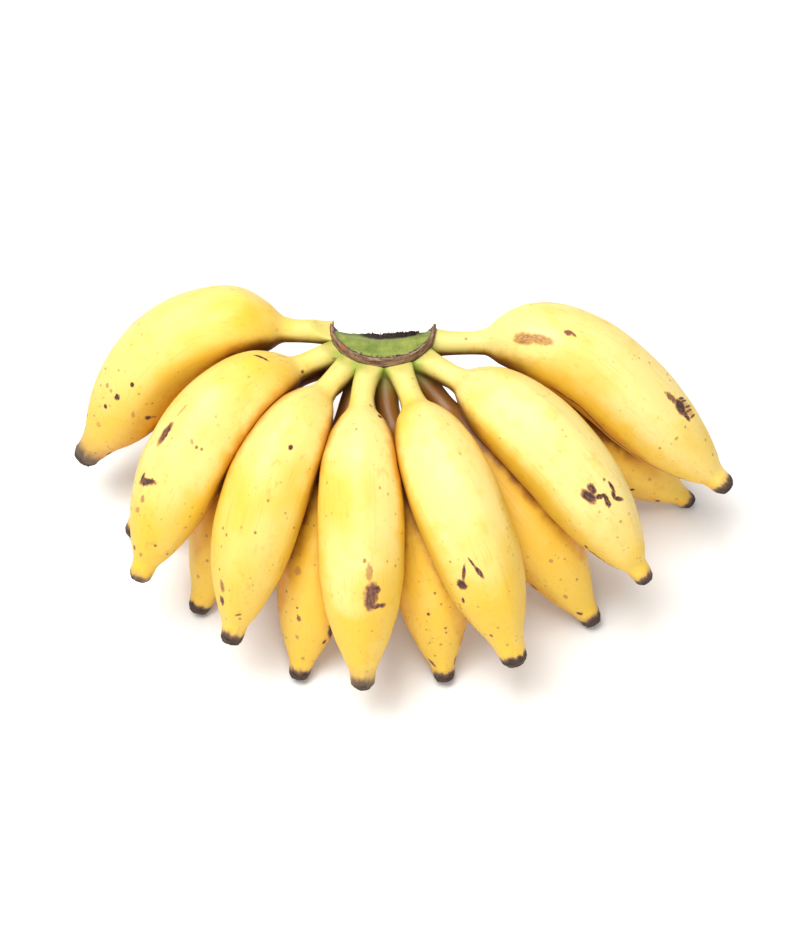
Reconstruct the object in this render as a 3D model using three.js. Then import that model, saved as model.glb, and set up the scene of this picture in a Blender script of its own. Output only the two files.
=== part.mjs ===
import * as THREE from 'three';

// A hand of small plump bananas, resting on the tips of its lower row with the crown on top.
// Millimetres and degrees, +Z up. The fruit fans out towards -Y, and the cut face of the crown looks to +Y.

// The hand as it rests
const lean = 12; // how far the crown tips back from level
const crownHeight = 80.8; // from the surface up to the centre of the crown's rim
const centreAcross = -7.5; // from the middle of the hand to the crown's axis, along X
const centreBack = 59.3; // the same along Y
const clearance = 0.5; // between two pieces that touch
const settle = 0.5; // skin closer than this to the surface lies flat on it

// The crown: a crescent of the old stem, its outer wall round and its cut face hollow
const rimRadius = 21;
const hornReach = 4; // how far each horn runs on past the half circle, in degrees
const cutDepth = 4.7; // from the axis to the middle of the cut face
const cutRadius = 34;
const cutSlope = 0.22; // how fast the cut face runs back as it goes down
const crownThickness = 21;

// What every banana shares, as shares of its length
const stalkEnd = 0.14;
const bellyPlace = 0.48;
const neckPlace = 0.95; // where the dry flower end begins
const stalkRadius = 4.6;
const rootFlare = 1.3; // the foot of the stalk against the stalk
const tipRadius = 4.7;
const ridgeCount = 5;
const ridgeHeight = 0.022; // of the radius

// around: where the stalk leaves the crown, 0 is +X and -90 the front. drop: how far that is under the rim.
// dip: the stalk's first slope downwards. droop: how much more it bends down, over the shares in bend.
// turn: heading gained in the stalk. swing: heading gained in the fruit. arch: how far the shoulder humps up.
const usual = { turn: 4, bend: [0.08, 0.75], arch: 0 };
const upperRow = [
  { around: -180, drop: 3, dip: -2, droop: 52, turn: 0, swing: 14, length: 126, belly: 17.6,
    bend: [0.1, 0.7], arch: 6 },
  { around: -152, drop: 5, dip: 2, droop: 46, swing: 23, length: 125, belly: 17.2,
    bend: [0.1, 0.8], arch: 2 },
  { around: -128, drop: 5, dip: 8, droop: 46, swing: 12, length: 124, belly: 16.5 },
  { around: -105, drop: 5, dip: 10, droop: 46, turn: 14, swing: 2, length: 129, belly: 16.5,
    bend: [0, 0.75] },
  { around: -72, drop: 5, dip: 8, droop: 46, turn: 0, swing: 17, length: 129.5, belly: 17 },
  { around: -40, drop: 6, dip: 0, droop: 44, turn: 0, swing: 3, length: 128, belly: 17, arch: 1 },
  { around: -6, drop: 7, dip: -4, droop: 37, swing: -23, length: 136.5, belly: 17.8,
    bend: [0.08, 0.6], arch: 4 },
];
const lowerRow = [
  { around: -167, drop: 15, dip: 18, droop: 37, turn: -4, swing: 16, length: 118, belly: 15 },
  { around: -143, drop: 15, dip: 23.5, droop: 37, turn: -2, swing: 15, length: 117, belly: 15 },
  { around: -118, drop: 15, dip: 31, droop: 27, turn: 16, swing: -7, length: 121, belly: 15.5 },
  { around: -87, drop: 15, dip: 28, droop: 33, turn: 19.5, swing: -7, length: 121, belly: 15.8 },
  { around: -44, drop: 15, dip: 22.7, droop: 33, turn: -7.5, swing: 23, length: 126, belly: 15.5 },
  { around: -20, drop: 15, dip: 20.7, droop: 20, turn: 12, swing: 8, length: 131, belly: 15 },
];

// How finely the solids are cut
const sides = 20;
const rings = [0, 0.025, 0.06, 0.105, 0.14, 0.165, 0.19, 0.225, 0.27, 0.33, 0.4, 0.48, 0.56, 0.64, 0.715,
  0.78, 0.835, 0.885, 0.925, 0.95, 0.97, 1, 1];
const lastRing = 0.5; // the last ring lies inside the flat end, at this share of its radius
const spineSteps = 48;

const radians = THREE.MathUtils.degToRad;

// Radius against place, as a share of the belly's radius from the shoulder to the start of the taper
const bodyProfile = [[0.19, 0.55], [0.25, 0.78], [0.34, 0.93], [bellyPlace, 1], [0.62, 0.98], [0.74, 0.86],
  [0.83, 0.66], [0.9, 0.44]];

// A smooth curve through knots that never overshoots them
function smoothThrough(knots) {
  const slopes = knots.slice(1).map(([x, y], i) => (y - knots[i][1]) / (x - knots[i][0]));
  const widths = knots.slice(1).map(([x], i) => x - knots[i][0]);
  const tangents = knots.map((_, i) => {
    if (i === 0) return slopes[0];
    if (i === knots.length - 1) return slopes[i - 1];
    if (slopes[i - 1] * slopes[i] <= 0) return 0;
    const before = 2 * widths[i] + widths[i - 1];
    const after = widths[i] + 2 * widths[i - 1];
    return (before + after) / (before / slopes[i - 1] + after / slopes[i]);
  });
  return (x) => {
    let i = 0;
    while (i < slopes.length - 1 && x > knots[i + 1][0]) i += 1;
    const t = (x - knots[i][0]) / widths[i];
    const [a, b] = [knots[i][1], knots[i + 1][1]];
    return (1 + 2 * t) * (1 - t) ** 2 * a + t * (1 - t) ** 2 * widths[i] * tangents[i]
      + t * t * (3 - 2 * t) * b + t * t * (t - 1) * widths[i] * tangents[i + 1];
  };
}

// How far the crown's outer wall has drawn in, at a depth under its rim
const wallInset = smoothThrough([[-3, 0], [0, 0], [8, 0.2], [12, 0.6], [16, 1.4], [crownThickness, 4.5]]);

function radiusAlong(banana) {
  const body = bodyProfile.map(([place, share]) => [place, share * banana.belly]);
  const stalk = [[0, rootFlare], [0.04, 1.06], [0.1, 1], [stalkEnd, 1.12]];
  return smoothThrough([
    ...stalk.map(([place, share]) => [place, share * stalkRadius]),
    ...body,
    [neckPlace - 0.01, tipRadius * 1.1], [neckPlace + 0.015, tipRadius], [1, tipRadius * 0.94],
  ]);
}

// The middle line of a banana, with the directions across it at each step
function makeSpine(banana) {
  const { smoothstep } = THREE.MathUtils;
  const step = banana.length / spineSteps;
  const wall = rimRadius - wallInset(banana.drop) + clearance;
  const angle = radians(banana.around);
  const at = new THREE.Vector3(wall * Math.cos(angle), wall * Math.sin(angle), -banana.drop);
  const spine = [];
  for (let i = 0; i <= spineSteps; i += 1) {
    const place = i / spineSteps;
    const bend = smoothstep(place, ...banana.bend);
    const slope = radians(-banana.dip - banana.droop * bend);
    const turned = banana.turn * smoothstep(place, 0, 0.16);
    const heading = radians(banana.around + turned + banana.swing * bend);
    const along = new THREE.Vector3(
      Math.cos(slope) * Math.cos(heading), Math.cos(slope) * Math.sin(heading), Math.sin(slope));
    const across = new THREE.Vector3(-Math.sin(heading), Math.cos(heading), 0);
    const up = new THREE.Vector3().crossVectors(along, across);
    if (i > 0) at.addScaledVector(along, step / 2).addScaledVector(spine[i - 1].along, step / 2);
    const hump = smoothstep(place, 0.1, 0.3) * (1 - smoothstep(place, 0.4, 0.95));
    const point = at.clone().addScaledVector(up, banana.arch * hump);
    spine.push({ place, point, along, across, up });
  }
  return spine;
}

function spineAt(spine, place) {
  const x = place * spineSteps;
  const i = Math.min(Math.floor(x), spineSteps - 1);
  const [a, b] = [spine[i], spine[i + 1]];
  const between = (key) => a[key].clone().lerp(b[key], x - i);
  return { point: between('point'), along: between('along'), across: between('across'), up: between('up') };
}

// The skin's distance from the middle line at a place and an angle round it
function skinRadius(banana, place, angle) {
  const { smoothstep } = THREE.MathUtils;
  const ridged = smoothstep(place, 0.02, 0.25) * (1 - 0.6 * smoothstep(place, 0.7, 0.93));
  return banana.radius(place) * (1 + ridgeHeight * ridged * Math.cos(ridgeCount * angle));
}

// How far a point is outside a banana's own round skin; negative inside
function outside(banana, point) {
  let best = Infinity;
  let place = 0;
  const foot = new THREE.Vector3();
  for (let i = 0; i < spineSteps; i += 1) {
    const a = banana.spine[i].point;
    const line = foot.copy(banana.spine[i + 1].point).sub(a);
    const t = THREE.MathUtils.clamp(point.clone().sub(a).dot(line) / line.lengthSq(), 0, 1);
    const distance = line.multiplyScalar(t).add(a).distanceTo(point);
    if (distance - banana.radius((i + t) / spineSteps) < best) {
      best = distance - banana.radius((i + t) / spineSteps);
      place = (i + t) / spineSteps;
    }
  }
  return best - banana.belly * ridgeHeight * (place > stalkEnd ? 1 : 0);
}

// Two bananas that press together share a flat between them: each keeps what lies deeper in itself.
function pressedRadius(banana, neighbours, point, out, free) {
  const probe = new THREE.Vector3();
  const fits = (r) => {
    probe.copy(point).addScaledVector(out, r);
    const own = outside(banana, probe);
    return neighbours.every((other) => outside(other, probe) - own >= 2 * clearance);
  };
  if (fits(free)) return free;
  let [low, high] = [0, free];
  for (let i = 0; i < 12; i += 1) {
    const middle = (low + high) / 2;
    if (fits(middle)) low = middle;
    else high = middle;
  }
  return low;
}

// The stalk's foot follows the crown's round wall.
function footOnCrown(point, along) {
  for (let i = 0; i < 6; i += 1) {
    const wall = rimRadius - wallInset(-point.z) + clearance;
    point.addScaledVector(along, (wall - Math.hypot(point.x, point.y)) / Math.cos(Math.asin(along.z)));
  }
  return point;
}

// A closed skin from rings of points, each end shut by a fan round a middle point
function closedSkin(loops, firstMiddle, lastMiddle) {
  const count = loops[0].length;
  const points = [...loops.flat(), firstMiddle, lastMiddle];
  const faces = [];
  for (let i = 0; i < loops.length - 1; i += 1) {
    for (let j = 0; j < count; j += 1) {
      const [a, b] = [i * count + j, i * count + (j + 1) % count];
      faces.push(a, b, b + count, a, b + count, a + count);
    }
  }
  const last = (loops.length - 1) * count;
  for (let j = 0; j < count; j += 1) {
    faces.push(points.length - 2, (j + 1) % count, j);
    faces.push(points.length - 1, last + j, last + (j + 1) % count);
  }
  const geometry = new THREE.BufferGeometry().setFromPoints(points);
  geometry.setIndex(faces);
  return geometry;
}

// The surface under the hand, in the hand's own leaning frame: how far a point stands above it
const upright = new THREE.Vector3(0, -Math.sin(radians(lean)), Math.cos(radians(lean)));
const above = (point) => point.dot(upright) + crownHeight;
const setDown = (point) => (above(point) < settle ? point.addScaledVector(upright, -above(point)) : point);

function bananaGeometry(banana, others) {
  const reach = (other) => other.belly + banana.belly + 30;
  const loops = rings.map((place, ring) => {
    const { point, along, across, up } = spineAt(banana.spine, place);
    const near = others.filter(
      (other) => other.spine.some((step) => step.point.distanceTo(point) < reach(other)));
    return Array.from({ length: sides }, (_, j) => {
      const angle = (2 * Math.PI * j) / sides;
      const out = up.clone().multiplyScalar(Math.cos(angle)).addScaledVector(across, -Math.sin(angle));
      const free = skinRadius(banana, place, angle) * (ring === rings.length - 1 ? lastRing : 1);
      const skin = point.clone().addScaledVector(out, pressedRadius(banana, near, point, out, free));
      return setDown(ring === 0 ? footOnCrown(skin, along) : skin);
    });
  });
  const foot = footOnCrown(banana.spine[0].point.clone(), banana.spine[0].along);
  return closedSkin(loops, foot, setDown(banana.spine[spineSteps].point.clone()));
}

// The crown's section in one plane: up the wall, over the rim, across the dished top, down the cut face
function crownSection(angle) {
  const wall = (depth) => {
    const radius = rimRadius - wallInset(depth);
    return new THREE.Vector3(radius * Math.cos(angle), radius * Math.sin(angle), -depth);
  };
  const cut = (depth) => {
    const x = wall(depth).x * 0.86;
    const y = cutRadius - cutDepth - Math.sqrt(cutRadius ** 2 - x * x) + depth * cutSlope;
    return new THREE.Vector3(x, y, -depth);
  };
  const width = wall(0).distanceTo(cut(0));
  const rim = Math.min(1.1, width * 0.2) / width;
  const shelf = Math.min(2.6, width * 0.4) / width;
  const top = [
    [rim * 0.35, 0.5], [rim, 1], [rim * 1.9, 0.6], [shelf, -0.5], [0.45, -1.6], [0.75, -1.3], [0.95, 0.1],
  ];
  return [
    wall(crownThickness).lerp(cut(crownThickness), 0.1), wall(18.5), wall(14), wall(9), wall(4), wall(1.2),
    ...top.map(([share, height]) => wall(0).lerp(cut(0), share).setZ(height)),
    cut(0.4), cut(7), cut(14), cut(20).lerp(wall(20), 0.1),
  ];
}

function crownGeometry() {
  const stations = 30;
  const loops = Array.from({ length: stations + 1 }, (_, i) => (
    crownSection(radians(hornReach - ((180 + 2 * hornReach) * i) / stations))));
  const middle = (loop) => {
    const sum = loop.reduce((total, point) => total.add(point), new THREE.Vector3());
    return sum.divideScalar(loop.length);
  };
  return closedSkin(loops, middle(loops[0]), middle(loops[stations]));
}

function makeBananas() {
  const named = [
    ...upperRow.map((shape, i) => ({ ...usual, ...shape, name: `upper_banana_${i + 1}` })),
    ...lowerRow.map((shape, i) => ({ ...usual, ...shape, name: `lower_banana_${i + 1}` })),
  ];
  const bananas = named.map((shape) => ({ ...shape, radius: radiusAlong(shape), spine: makeSpine(shape) }));
  const peel = new THREE.MeshStandardMaterial({ color: '#f2cf52', roughness: 0.48, metalness: 0 });
  return bananas.map((banana) => {
    const mesh = new THREE.Mesh(bananaGeometry(banana, bananas.filter((other) => other !== banana)), peel);
    mesh.name = banana.name;
    return mesh;
  });
}

function makeCrown() {
  const stemSkin = new THREE.MeshStandardMaterial({ color: '#8a8f4a', roughness: 0.7, metalness: 0 });
  const crown = new THREE.Mesh(crownGeometry(), stemSkin);
  crown.name = 'crown';
  return crown;
}

const hand = new THREE.Group();
hand.add(makeCrown(), ...makeBananas());
hand.position.set(centreAcross, centreBack, crownHeight);
hand.rotation.x = -radians(lean);

const part = new THREE.Group();
part.add(hand);

export default part;
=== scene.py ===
import math
import bpy
import numpy as np
from mathutils import Matrix, Vector


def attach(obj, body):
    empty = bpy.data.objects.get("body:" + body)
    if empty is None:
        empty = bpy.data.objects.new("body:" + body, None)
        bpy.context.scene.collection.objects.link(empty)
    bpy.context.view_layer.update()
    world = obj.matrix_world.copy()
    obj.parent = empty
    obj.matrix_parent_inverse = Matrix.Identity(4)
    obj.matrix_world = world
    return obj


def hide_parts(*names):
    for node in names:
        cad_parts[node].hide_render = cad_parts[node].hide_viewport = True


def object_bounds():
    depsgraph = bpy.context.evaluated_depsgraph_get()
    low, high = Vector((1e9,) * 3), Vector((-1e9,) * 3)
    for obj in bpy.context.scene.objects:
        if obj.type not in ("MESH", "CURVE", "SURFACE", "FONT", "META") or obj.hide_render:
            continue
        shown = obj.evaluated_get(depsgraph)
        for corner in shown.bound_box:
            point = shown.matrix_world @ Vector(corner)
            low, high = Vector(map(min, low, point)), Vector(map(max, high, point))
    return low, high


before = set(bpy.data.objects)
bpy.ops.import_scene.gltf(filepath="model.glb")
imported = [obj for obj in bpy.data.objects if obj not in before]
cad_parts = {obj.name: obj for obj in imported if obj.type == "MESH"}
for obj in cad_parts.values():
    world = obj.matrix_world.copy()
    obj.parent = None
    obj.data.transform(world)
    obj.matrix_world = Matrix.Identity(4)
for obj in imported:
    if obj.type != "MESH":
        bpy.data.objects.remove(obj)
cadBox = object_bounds()
mm = 0.001  # the fruit is shaped in millimetres in the crown's own frame, then laid in the row's frame

# the hand as it rests, in millimetres and degrees, as the CAD model has it
hand = {
    "lean": 12,  # how far the crown tips back
    "crownHeight": 80.8,
    "centreAcross": -7.5,
    "centreBack": 59.3,
    "touch": 0.06,  # half the gap left between two skins that press together
    "settle": 0.12,  # skin closer than this to the surface lies flat on it
}


def fromHex(code):
    parts = [int(code[i:i + 2], 16) / 255 for i in (1, 3, 5)]
    return [c / 12.92 if c <= 0.04045 else ((c + 0.055) / 1.055) ** 2.4 for c in parts] + [1.0]


def addNode(tree, kind, inputs=None, **settings):
    node = tree.nodes.new(kind)
    for name, value in settings.items():
        setattr(node, name, value)
    for key, value in (inputs or {}).items():
        if isinstance(value, bpy.types.NodeSocket):
            tree.links.new(value, node.inputs[key])
        else:
            node.inputs[key].default_value = value
    return node


smooth = {"interpolation_type": "SMOOTHSTEP"}
mixed = {"data_type": "RGBA"}


def coat(tree, under, over, value, low, high, most=1.0):
    # one colour over another, where a value runs from low to high
    share = addNode(tree, "ShaderNodeMapRange", {0: value, 1: low, 2: high, 3: 0, 4: most}, **smooth)
    return addNode(tree, "ShaderNodeMix", {0: share.outputs[0], 6: under, 7: over}, **mixed).outputs[2]


def newShapeTree(name, sockets):
    tree = bpy.data.node_groups.new(name, "GeometryNodeTree")
    tree.interface.new_socket(name="Geometry", in_out="INPUT", socket_type="NodeSocketGeometry")
    for label, kind in sockets.items():
        tree.interface.new_socket(name=label, in_out="INPUT", socket_type="NodeSocket" + kind)
    tree.interface.new_socket(name="Geometry", in_out="OUTPUT", socket_type="NodeSocketGeometry")
    return tree


def runTree(name, mesh, tree, values):
    carrier = bpy.data.objects.new(name + "Carrier", mesh)
    bpy.context.scene.collection.objects.link(carrier)
    modifier = carrier.modifiers.new("shape", "NODES")
    modifier.node_group = tree
    ids = {item.name: item.identifier for item in tree.interface.items_tree if item.in_out == "INPUT"}
    for label, value in values.items():
        modifier[ids[label]] = value
    ready = carrier.evaluated_get(bpy.context.evaluated_depsgraph_get())
    made = bpy.data.meshes.new_from_object(ready)
    made.name = name
    bpy.data.objects.remove(carrier)
    return made


def easeStep(value, low, high):
    t = np.clip((value - low) / (high - low), 0, 1)
    return t * t * (3 - 2 * t)


def smoothThrough(knots):
    x, y = np.array(knots, float).T
    width, slope = np.diff(x), np.diff(y) / np.diff(x)
    tangent = np.concatenate([slope[:1], np.zeros(len(slope) - 1), slope[-1:]])
    for i in range(1, len(slope)):
        if slope[i - 1] * slope[i] > 0:  # a peak stays level, so the curve never overshoots its knots
            before, after = 2 * width[i] + width[i - 1], width[i] + 2 * width[i - 1]
            tangent[i] = (before + after) / (before / slope[i - 1] + after / slope[i])

    def curve(value):
        i = np.clip(np.searchsorted(x, value, side="right") - 1, 0, len(slope) - 1)
        t = (value - x[i]) / width[i]
        ends = (1 + 2 * t) * (1 - t) ** 2 * y[i] + t * t * (3 - 2 * t) * y[i + 1]
        return ends + width[i] * (t * (1 - t) ** 2 * tangent[i] + t * t * (t - 1) * tangent[i + 1])
    return curve


def layDown(points):
    tip = math.radians(-hand["lean"])
    turned = points @ np.array(Matrix.Rotation(tip, 3, "X")).T
    return turned + [hand["centreAcross"], hand["centreBack"], hand["crownHeight"]]


def readVectors(mesh, name):
    values = np.zeros(len(mesh.vertices) * 3, np.float32)
    mesh.attributes[name].data.foreach_get("vector", values)
    return values.reshape(-1, 3).astype(float)


def readNumbers(mesh, name):
    values = np.zeros(len(mesh.vertices), np.float32)
    mesh.attributes[name].data.foreach_get("value", values)
    return values.astype(float)


def setPlaces(mesh, points):
    mesh.vertices.foreach_set("co", (points * mm).astype(np.float32).ravel())
    mesh.polygons.foreach_set("use_smooth", np.ones(len(mesh.polygons), bool))
    mesh.update()


# what every banana shares, in millimetres and as shares of its length
bananaShape = {
    "stalkEnd": 0.14,
    "bellyPlace": 0.48,
    "neckPlace": 0.95,
    "stalkRadius": 4.6,
    "rootFlare": 1.3,
    "tipRadius": 4.7,
    "ridgeCount": 5,
    "ridgeHeight": 0.028,
    "lumpHeight": 1.3,
    "lumpSize": 24,
    "tipWrinkle": 0.5,
    "tipHollow": 1.1,
    "rings": 136,
    "sides": 80,
    "spineSteps": 192,
    "rootBury": 0.7,  # how far the stalk's foot runs into the crown it grows from
    "rootTop": -2.3,  # the stalk's foot stays this far under the rim, below the bark
    "closeReach": 4.5,  # a neighbour closer than this gives the peel painted crease shade, and green at the stalk's foot
    "pressNear": 38,  # middle lines nearer than this may press together, and nearer than the next may shade
    "shadeNear": 60,
    "ballStep": 16,  # of the spine's steps, between two balls that stand for a fruit when it shades another
}

# around: where the stalk leaves the crown. drop: how far under the rim. dip: first slope. droop: further
# slope. cap and fade: millimetres of black and of brown skin at the tip. ridgeTurn: where the ridges stand.
# warm, green and freckles: how strong each shows, warm being partly the fruit's own riper tone and partly
# painted shade. under: how much more painted shade turns the stalk umber
usual = {
    "turn": 4, "bend": (0.08, 0.75), "arch": 0, "tip": 1.0, "tipEnd": 0.62, "cap": 3.0, "fade": 2.0,
    "dried": "brown", "warm": 0.0, "green": 1.0, "under": 0.0, "freckles": 0.5, "ridgeTurn": 0,
    "rootTop": None,
}
# the lower row sits in the upper row's shade: its warm is partly painted shade, and under gives its stalks
# more painted shade
usualLower = {"drop": 15, "warm": 0.3, "green": 0.45, "under": 0.35, "tipEnd": 0.75}
bananas = {
    "upper_banana_1": {
        "around": -180, "drop": 3, "dip": -2, "droop": 52, "turn": 0, "swing": 14, "length": 126,
        "belly": 17.6, "bend": (0.1, 0.7), "arch": 6, "tip": 1.2, "tipEnd": 0.8, "cap": 2.2, "fade": 8,
        "dried": "cork", "warm": 0.3, "green": 0.15, "freckles": 0.9, "rootTop": -1.4,
    },
    "upper_banana_2": {
        "around": -152, "drop": 5, "dip": 2, "droop": 46, "swing": 23, "length": 125, "belly": 17.2,
        "bend": (0.1, 0.8), "arch": 2, "tip": 0.95, "cap": 1.1, "fade": 2.5, "warm": 0.15, "freckles": 0.8,
    },
    "upper_banana_3": {
        "around": -128, "drop": 5, "dip": 8, "droop": 46, "swing": 12, "length": 124, "belly": 16.5,
        "tip": 0.95, "tipEnd": 0.75, "cap": 3.2, "warm": 0.15, "freckles": 0.7,
    },
    "upper_banana_4": {
        "around": -105, "drop": 5, "dip": 10, "droop": 46, "turn": 14, "swing": 2, "length": 129,
        "belly": 16.5, "bend": (0, 0.75), "tip": 1.0, "tipEnd": 0.5, "cap": 2.4, "fade": 4.5,
        "dried": "cork",
    },
    "upper_banana_5": {
        "around": -72, "drop": 5, "dip": 8, "droop": 46, "turn": 0, "swing": 17, "length": 129.5,
        "belly": 17, "tip": 1.12, "cap": 4.0, "fade": 1.2,
    },
    "upper_banana_6": {
        "around": -40, "drop": 6, "dip": 0, "droop": 44, "turn": 0, "swing": 3, "length": 128, "belly": 17,
        "arch": 1, "tip": 0.85, "cap": 2.6, "warm": -0.25,
    },
    "upper_banana_7": {
        "around": -6, "drop": 7, "dip": -4, "droop": 37, "swing": -23, "length": 136.5, "belly": 17.8,
        "bend": (0.08, 0.6), "arch": 4, "tip": 0.98, "cap": 3.2, "warm": -0.25, "green": 0.2,
        "ridgeTurn": 36, "rootTop": -0.4,
    },
    "lower_banana_1": {
        "around": -167, "dip": 18, "droop": 37, "turn": -4, "swing": 16, "length": 118,
        "belly": 15, "cap": 3.0,
    },
    "lower_banana_2": {
        "around": -143, "dip": 23.5, "droop": 37, "turn": -2, "swing": 15, "length": 117,
        "belly": 15, "cap": 3.4, "fade": 1.5,
    },
    "lower_banana_3": {
        "around": -118, "dip": 31, "droop": 27, "turn": 16, "swing": -7, "length": 121,
        "belly": 15.5, "tip": 0.95, "cap": 3.2, "freckles": 0.9,
    },
    "lower_banana_4": {
        "around": -87, "dip": 28, "droop": 33, "turn": 19.5, "swing": -7, "length": 121,
        "belly": 15.8, "tip": 0.95, "cap": 3.0, "freckles": 0.9,
    },
    "lower_banana_5": {
        "around": -44, "dip": 22.7, "droop": 33, "turn": -7.5, "swing": 23, "length": 126,
        "belly": 15.5, "cap": 3.6, "freckles": 0.8,
    },
    "lower_banana_6": {
        "around": -20, "dip": 20.7, "droop": 20, "turn": 12, "swing": 8, "length": 131,
        "belly": 15, "tip": 0.85, "cap": 2.2, "freckles": 0.8,
    },
}

# the crown, a crescent of old stem: its outer wall is round and its cut face hollow
crownShape = {
    "rimRadius": 21,
    "hornReach": 4,  # degrees each horn runs on past the half circle
    "cutDepth": 4.7,
    "cutRadius": 34,
    "cutSlope": 0.22,
    "thickness": 21,
    "stations": 220,
    "sectionSteps": 8,  # between two points of the section
    "barkWidth": 3.3,
    "edgeFall": 1.8,
    "barkLump": 0.2,
    "barkSize": 1.5,
    "tornHeight": 3.4,
    "tornFrom": -14,
    "tornTo": 17,
    "shreds": 0.12,  # share of the torn edge's points that carry a stiff fibre
    "shredLength": 0.9,
}
wallInset = smoothThrough([(-3, 0), (0, 0), (8, 0.2), (12, 0.6), (16, 1.4), (crownShape["thickness"], 4.5)])


def spineOf(shape):
    steps = bananaShape["spineSteps"]
    place = np.linspace(0, 1, steps + 1)
    bend = easeStep(place, *shape["bend"])
    slope = np.radians(-shape["dip"] - shape["droop"] * bend)
    heading = np.radians(shape["around"] + shape["turn"] * easeStep(place, 0, 0.16) + shape["swing"] * bend)
    flat = np.zeros_like(place)
    along = np.stack([np.cos(slope) * np.cos(heading), np.cos(slope) * np.sin(heading), np.sin(slope)], 1)
    across = np.stack([-np.sin(heading), np.cos(heading), flat], 1)
    up = np.cross(along, across)
    wall = crownShape["rimRadius"] - wallInset(shape["drop"])
    angle = math.radians(shape["around"])
    start = np.array([wall * math.cos(angle), wall * math.sin(angle), -shape["drop"]])
    walk = np.cumsum((along[1:] + along[:-1]) / 2, 0) * shape["length"] / steps
    point = np.vstack([start, start + walk])
    hump = easeStep(place, 0.1, 0.3) * (1 - easeStep(place, 0.4, 0.95))
    point += up * (shape["arch"] * hump)[:, None]
    b, belly, tip = bananaShape, shape["belly"], bananaShape["tipRadius"] * shape["tip"]
    girth = smoothThrough([
        (0, b["stalkRadius"] * b["rootFlare"]), (0.04, b["stalkRadius"] * 1.06), (0.1, b["stalkRadius"]),
        (b["stalkEnd"], b["stalkRadius"] * 1.12), (0.19, belly * 0.55), (0.25, belly * 0.78),
        (0.34, belly * 0.93), (b["bellyPlace"], belly), (0.62, belly * 0.98), (0.74, belly * 0.86),
        (0.83, belly * 0.66), (0.9, belly * 0.44), (b["neckPlace"] - 0.01, tip * 1.12),
        (b["neckPlace"] + 0.015, tip * 1.03), (0.982, tip * 0.97), (1, tip * shape["tipEnd"]),
    ])(place)
    ridge = easeStep(place, 0.02, 0.22) * (1 - 0.3 * easeStep(place, 0.3, 0.5))
    ridge *= 1 - 0.5 * easeStep(place, 0.85, 0.96)  # the ridges fade towards the tip
    return {"place": place, "point": point, "along": along, "across": across, "up": up, "girth": girth,
            "ridge": ridge}


def spineMesh(name, spine):
    mesh = bpy.data.meshes.new(name + "Spine")
    count = len(spine["place"])
    mesh.from_pydata(spine["point"].tolist(), [(i, i + 1) for i in range(count - 1)], [])
    for label in ("place", "girth", "ridge"):
        values = spine[label].astype(np.float32)
        mesh.attributes.new(label, "FLOAT", "POINT").data.foreach_set("value", values)
    for label in ("across", "up"):
        values = spine[label].astype(np.float32).ravel()
        mesh.attributes.new(label, "FLOAT_VECTOR", "POINT").data.foreach_set("vector", values)
    return mesh


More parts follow.
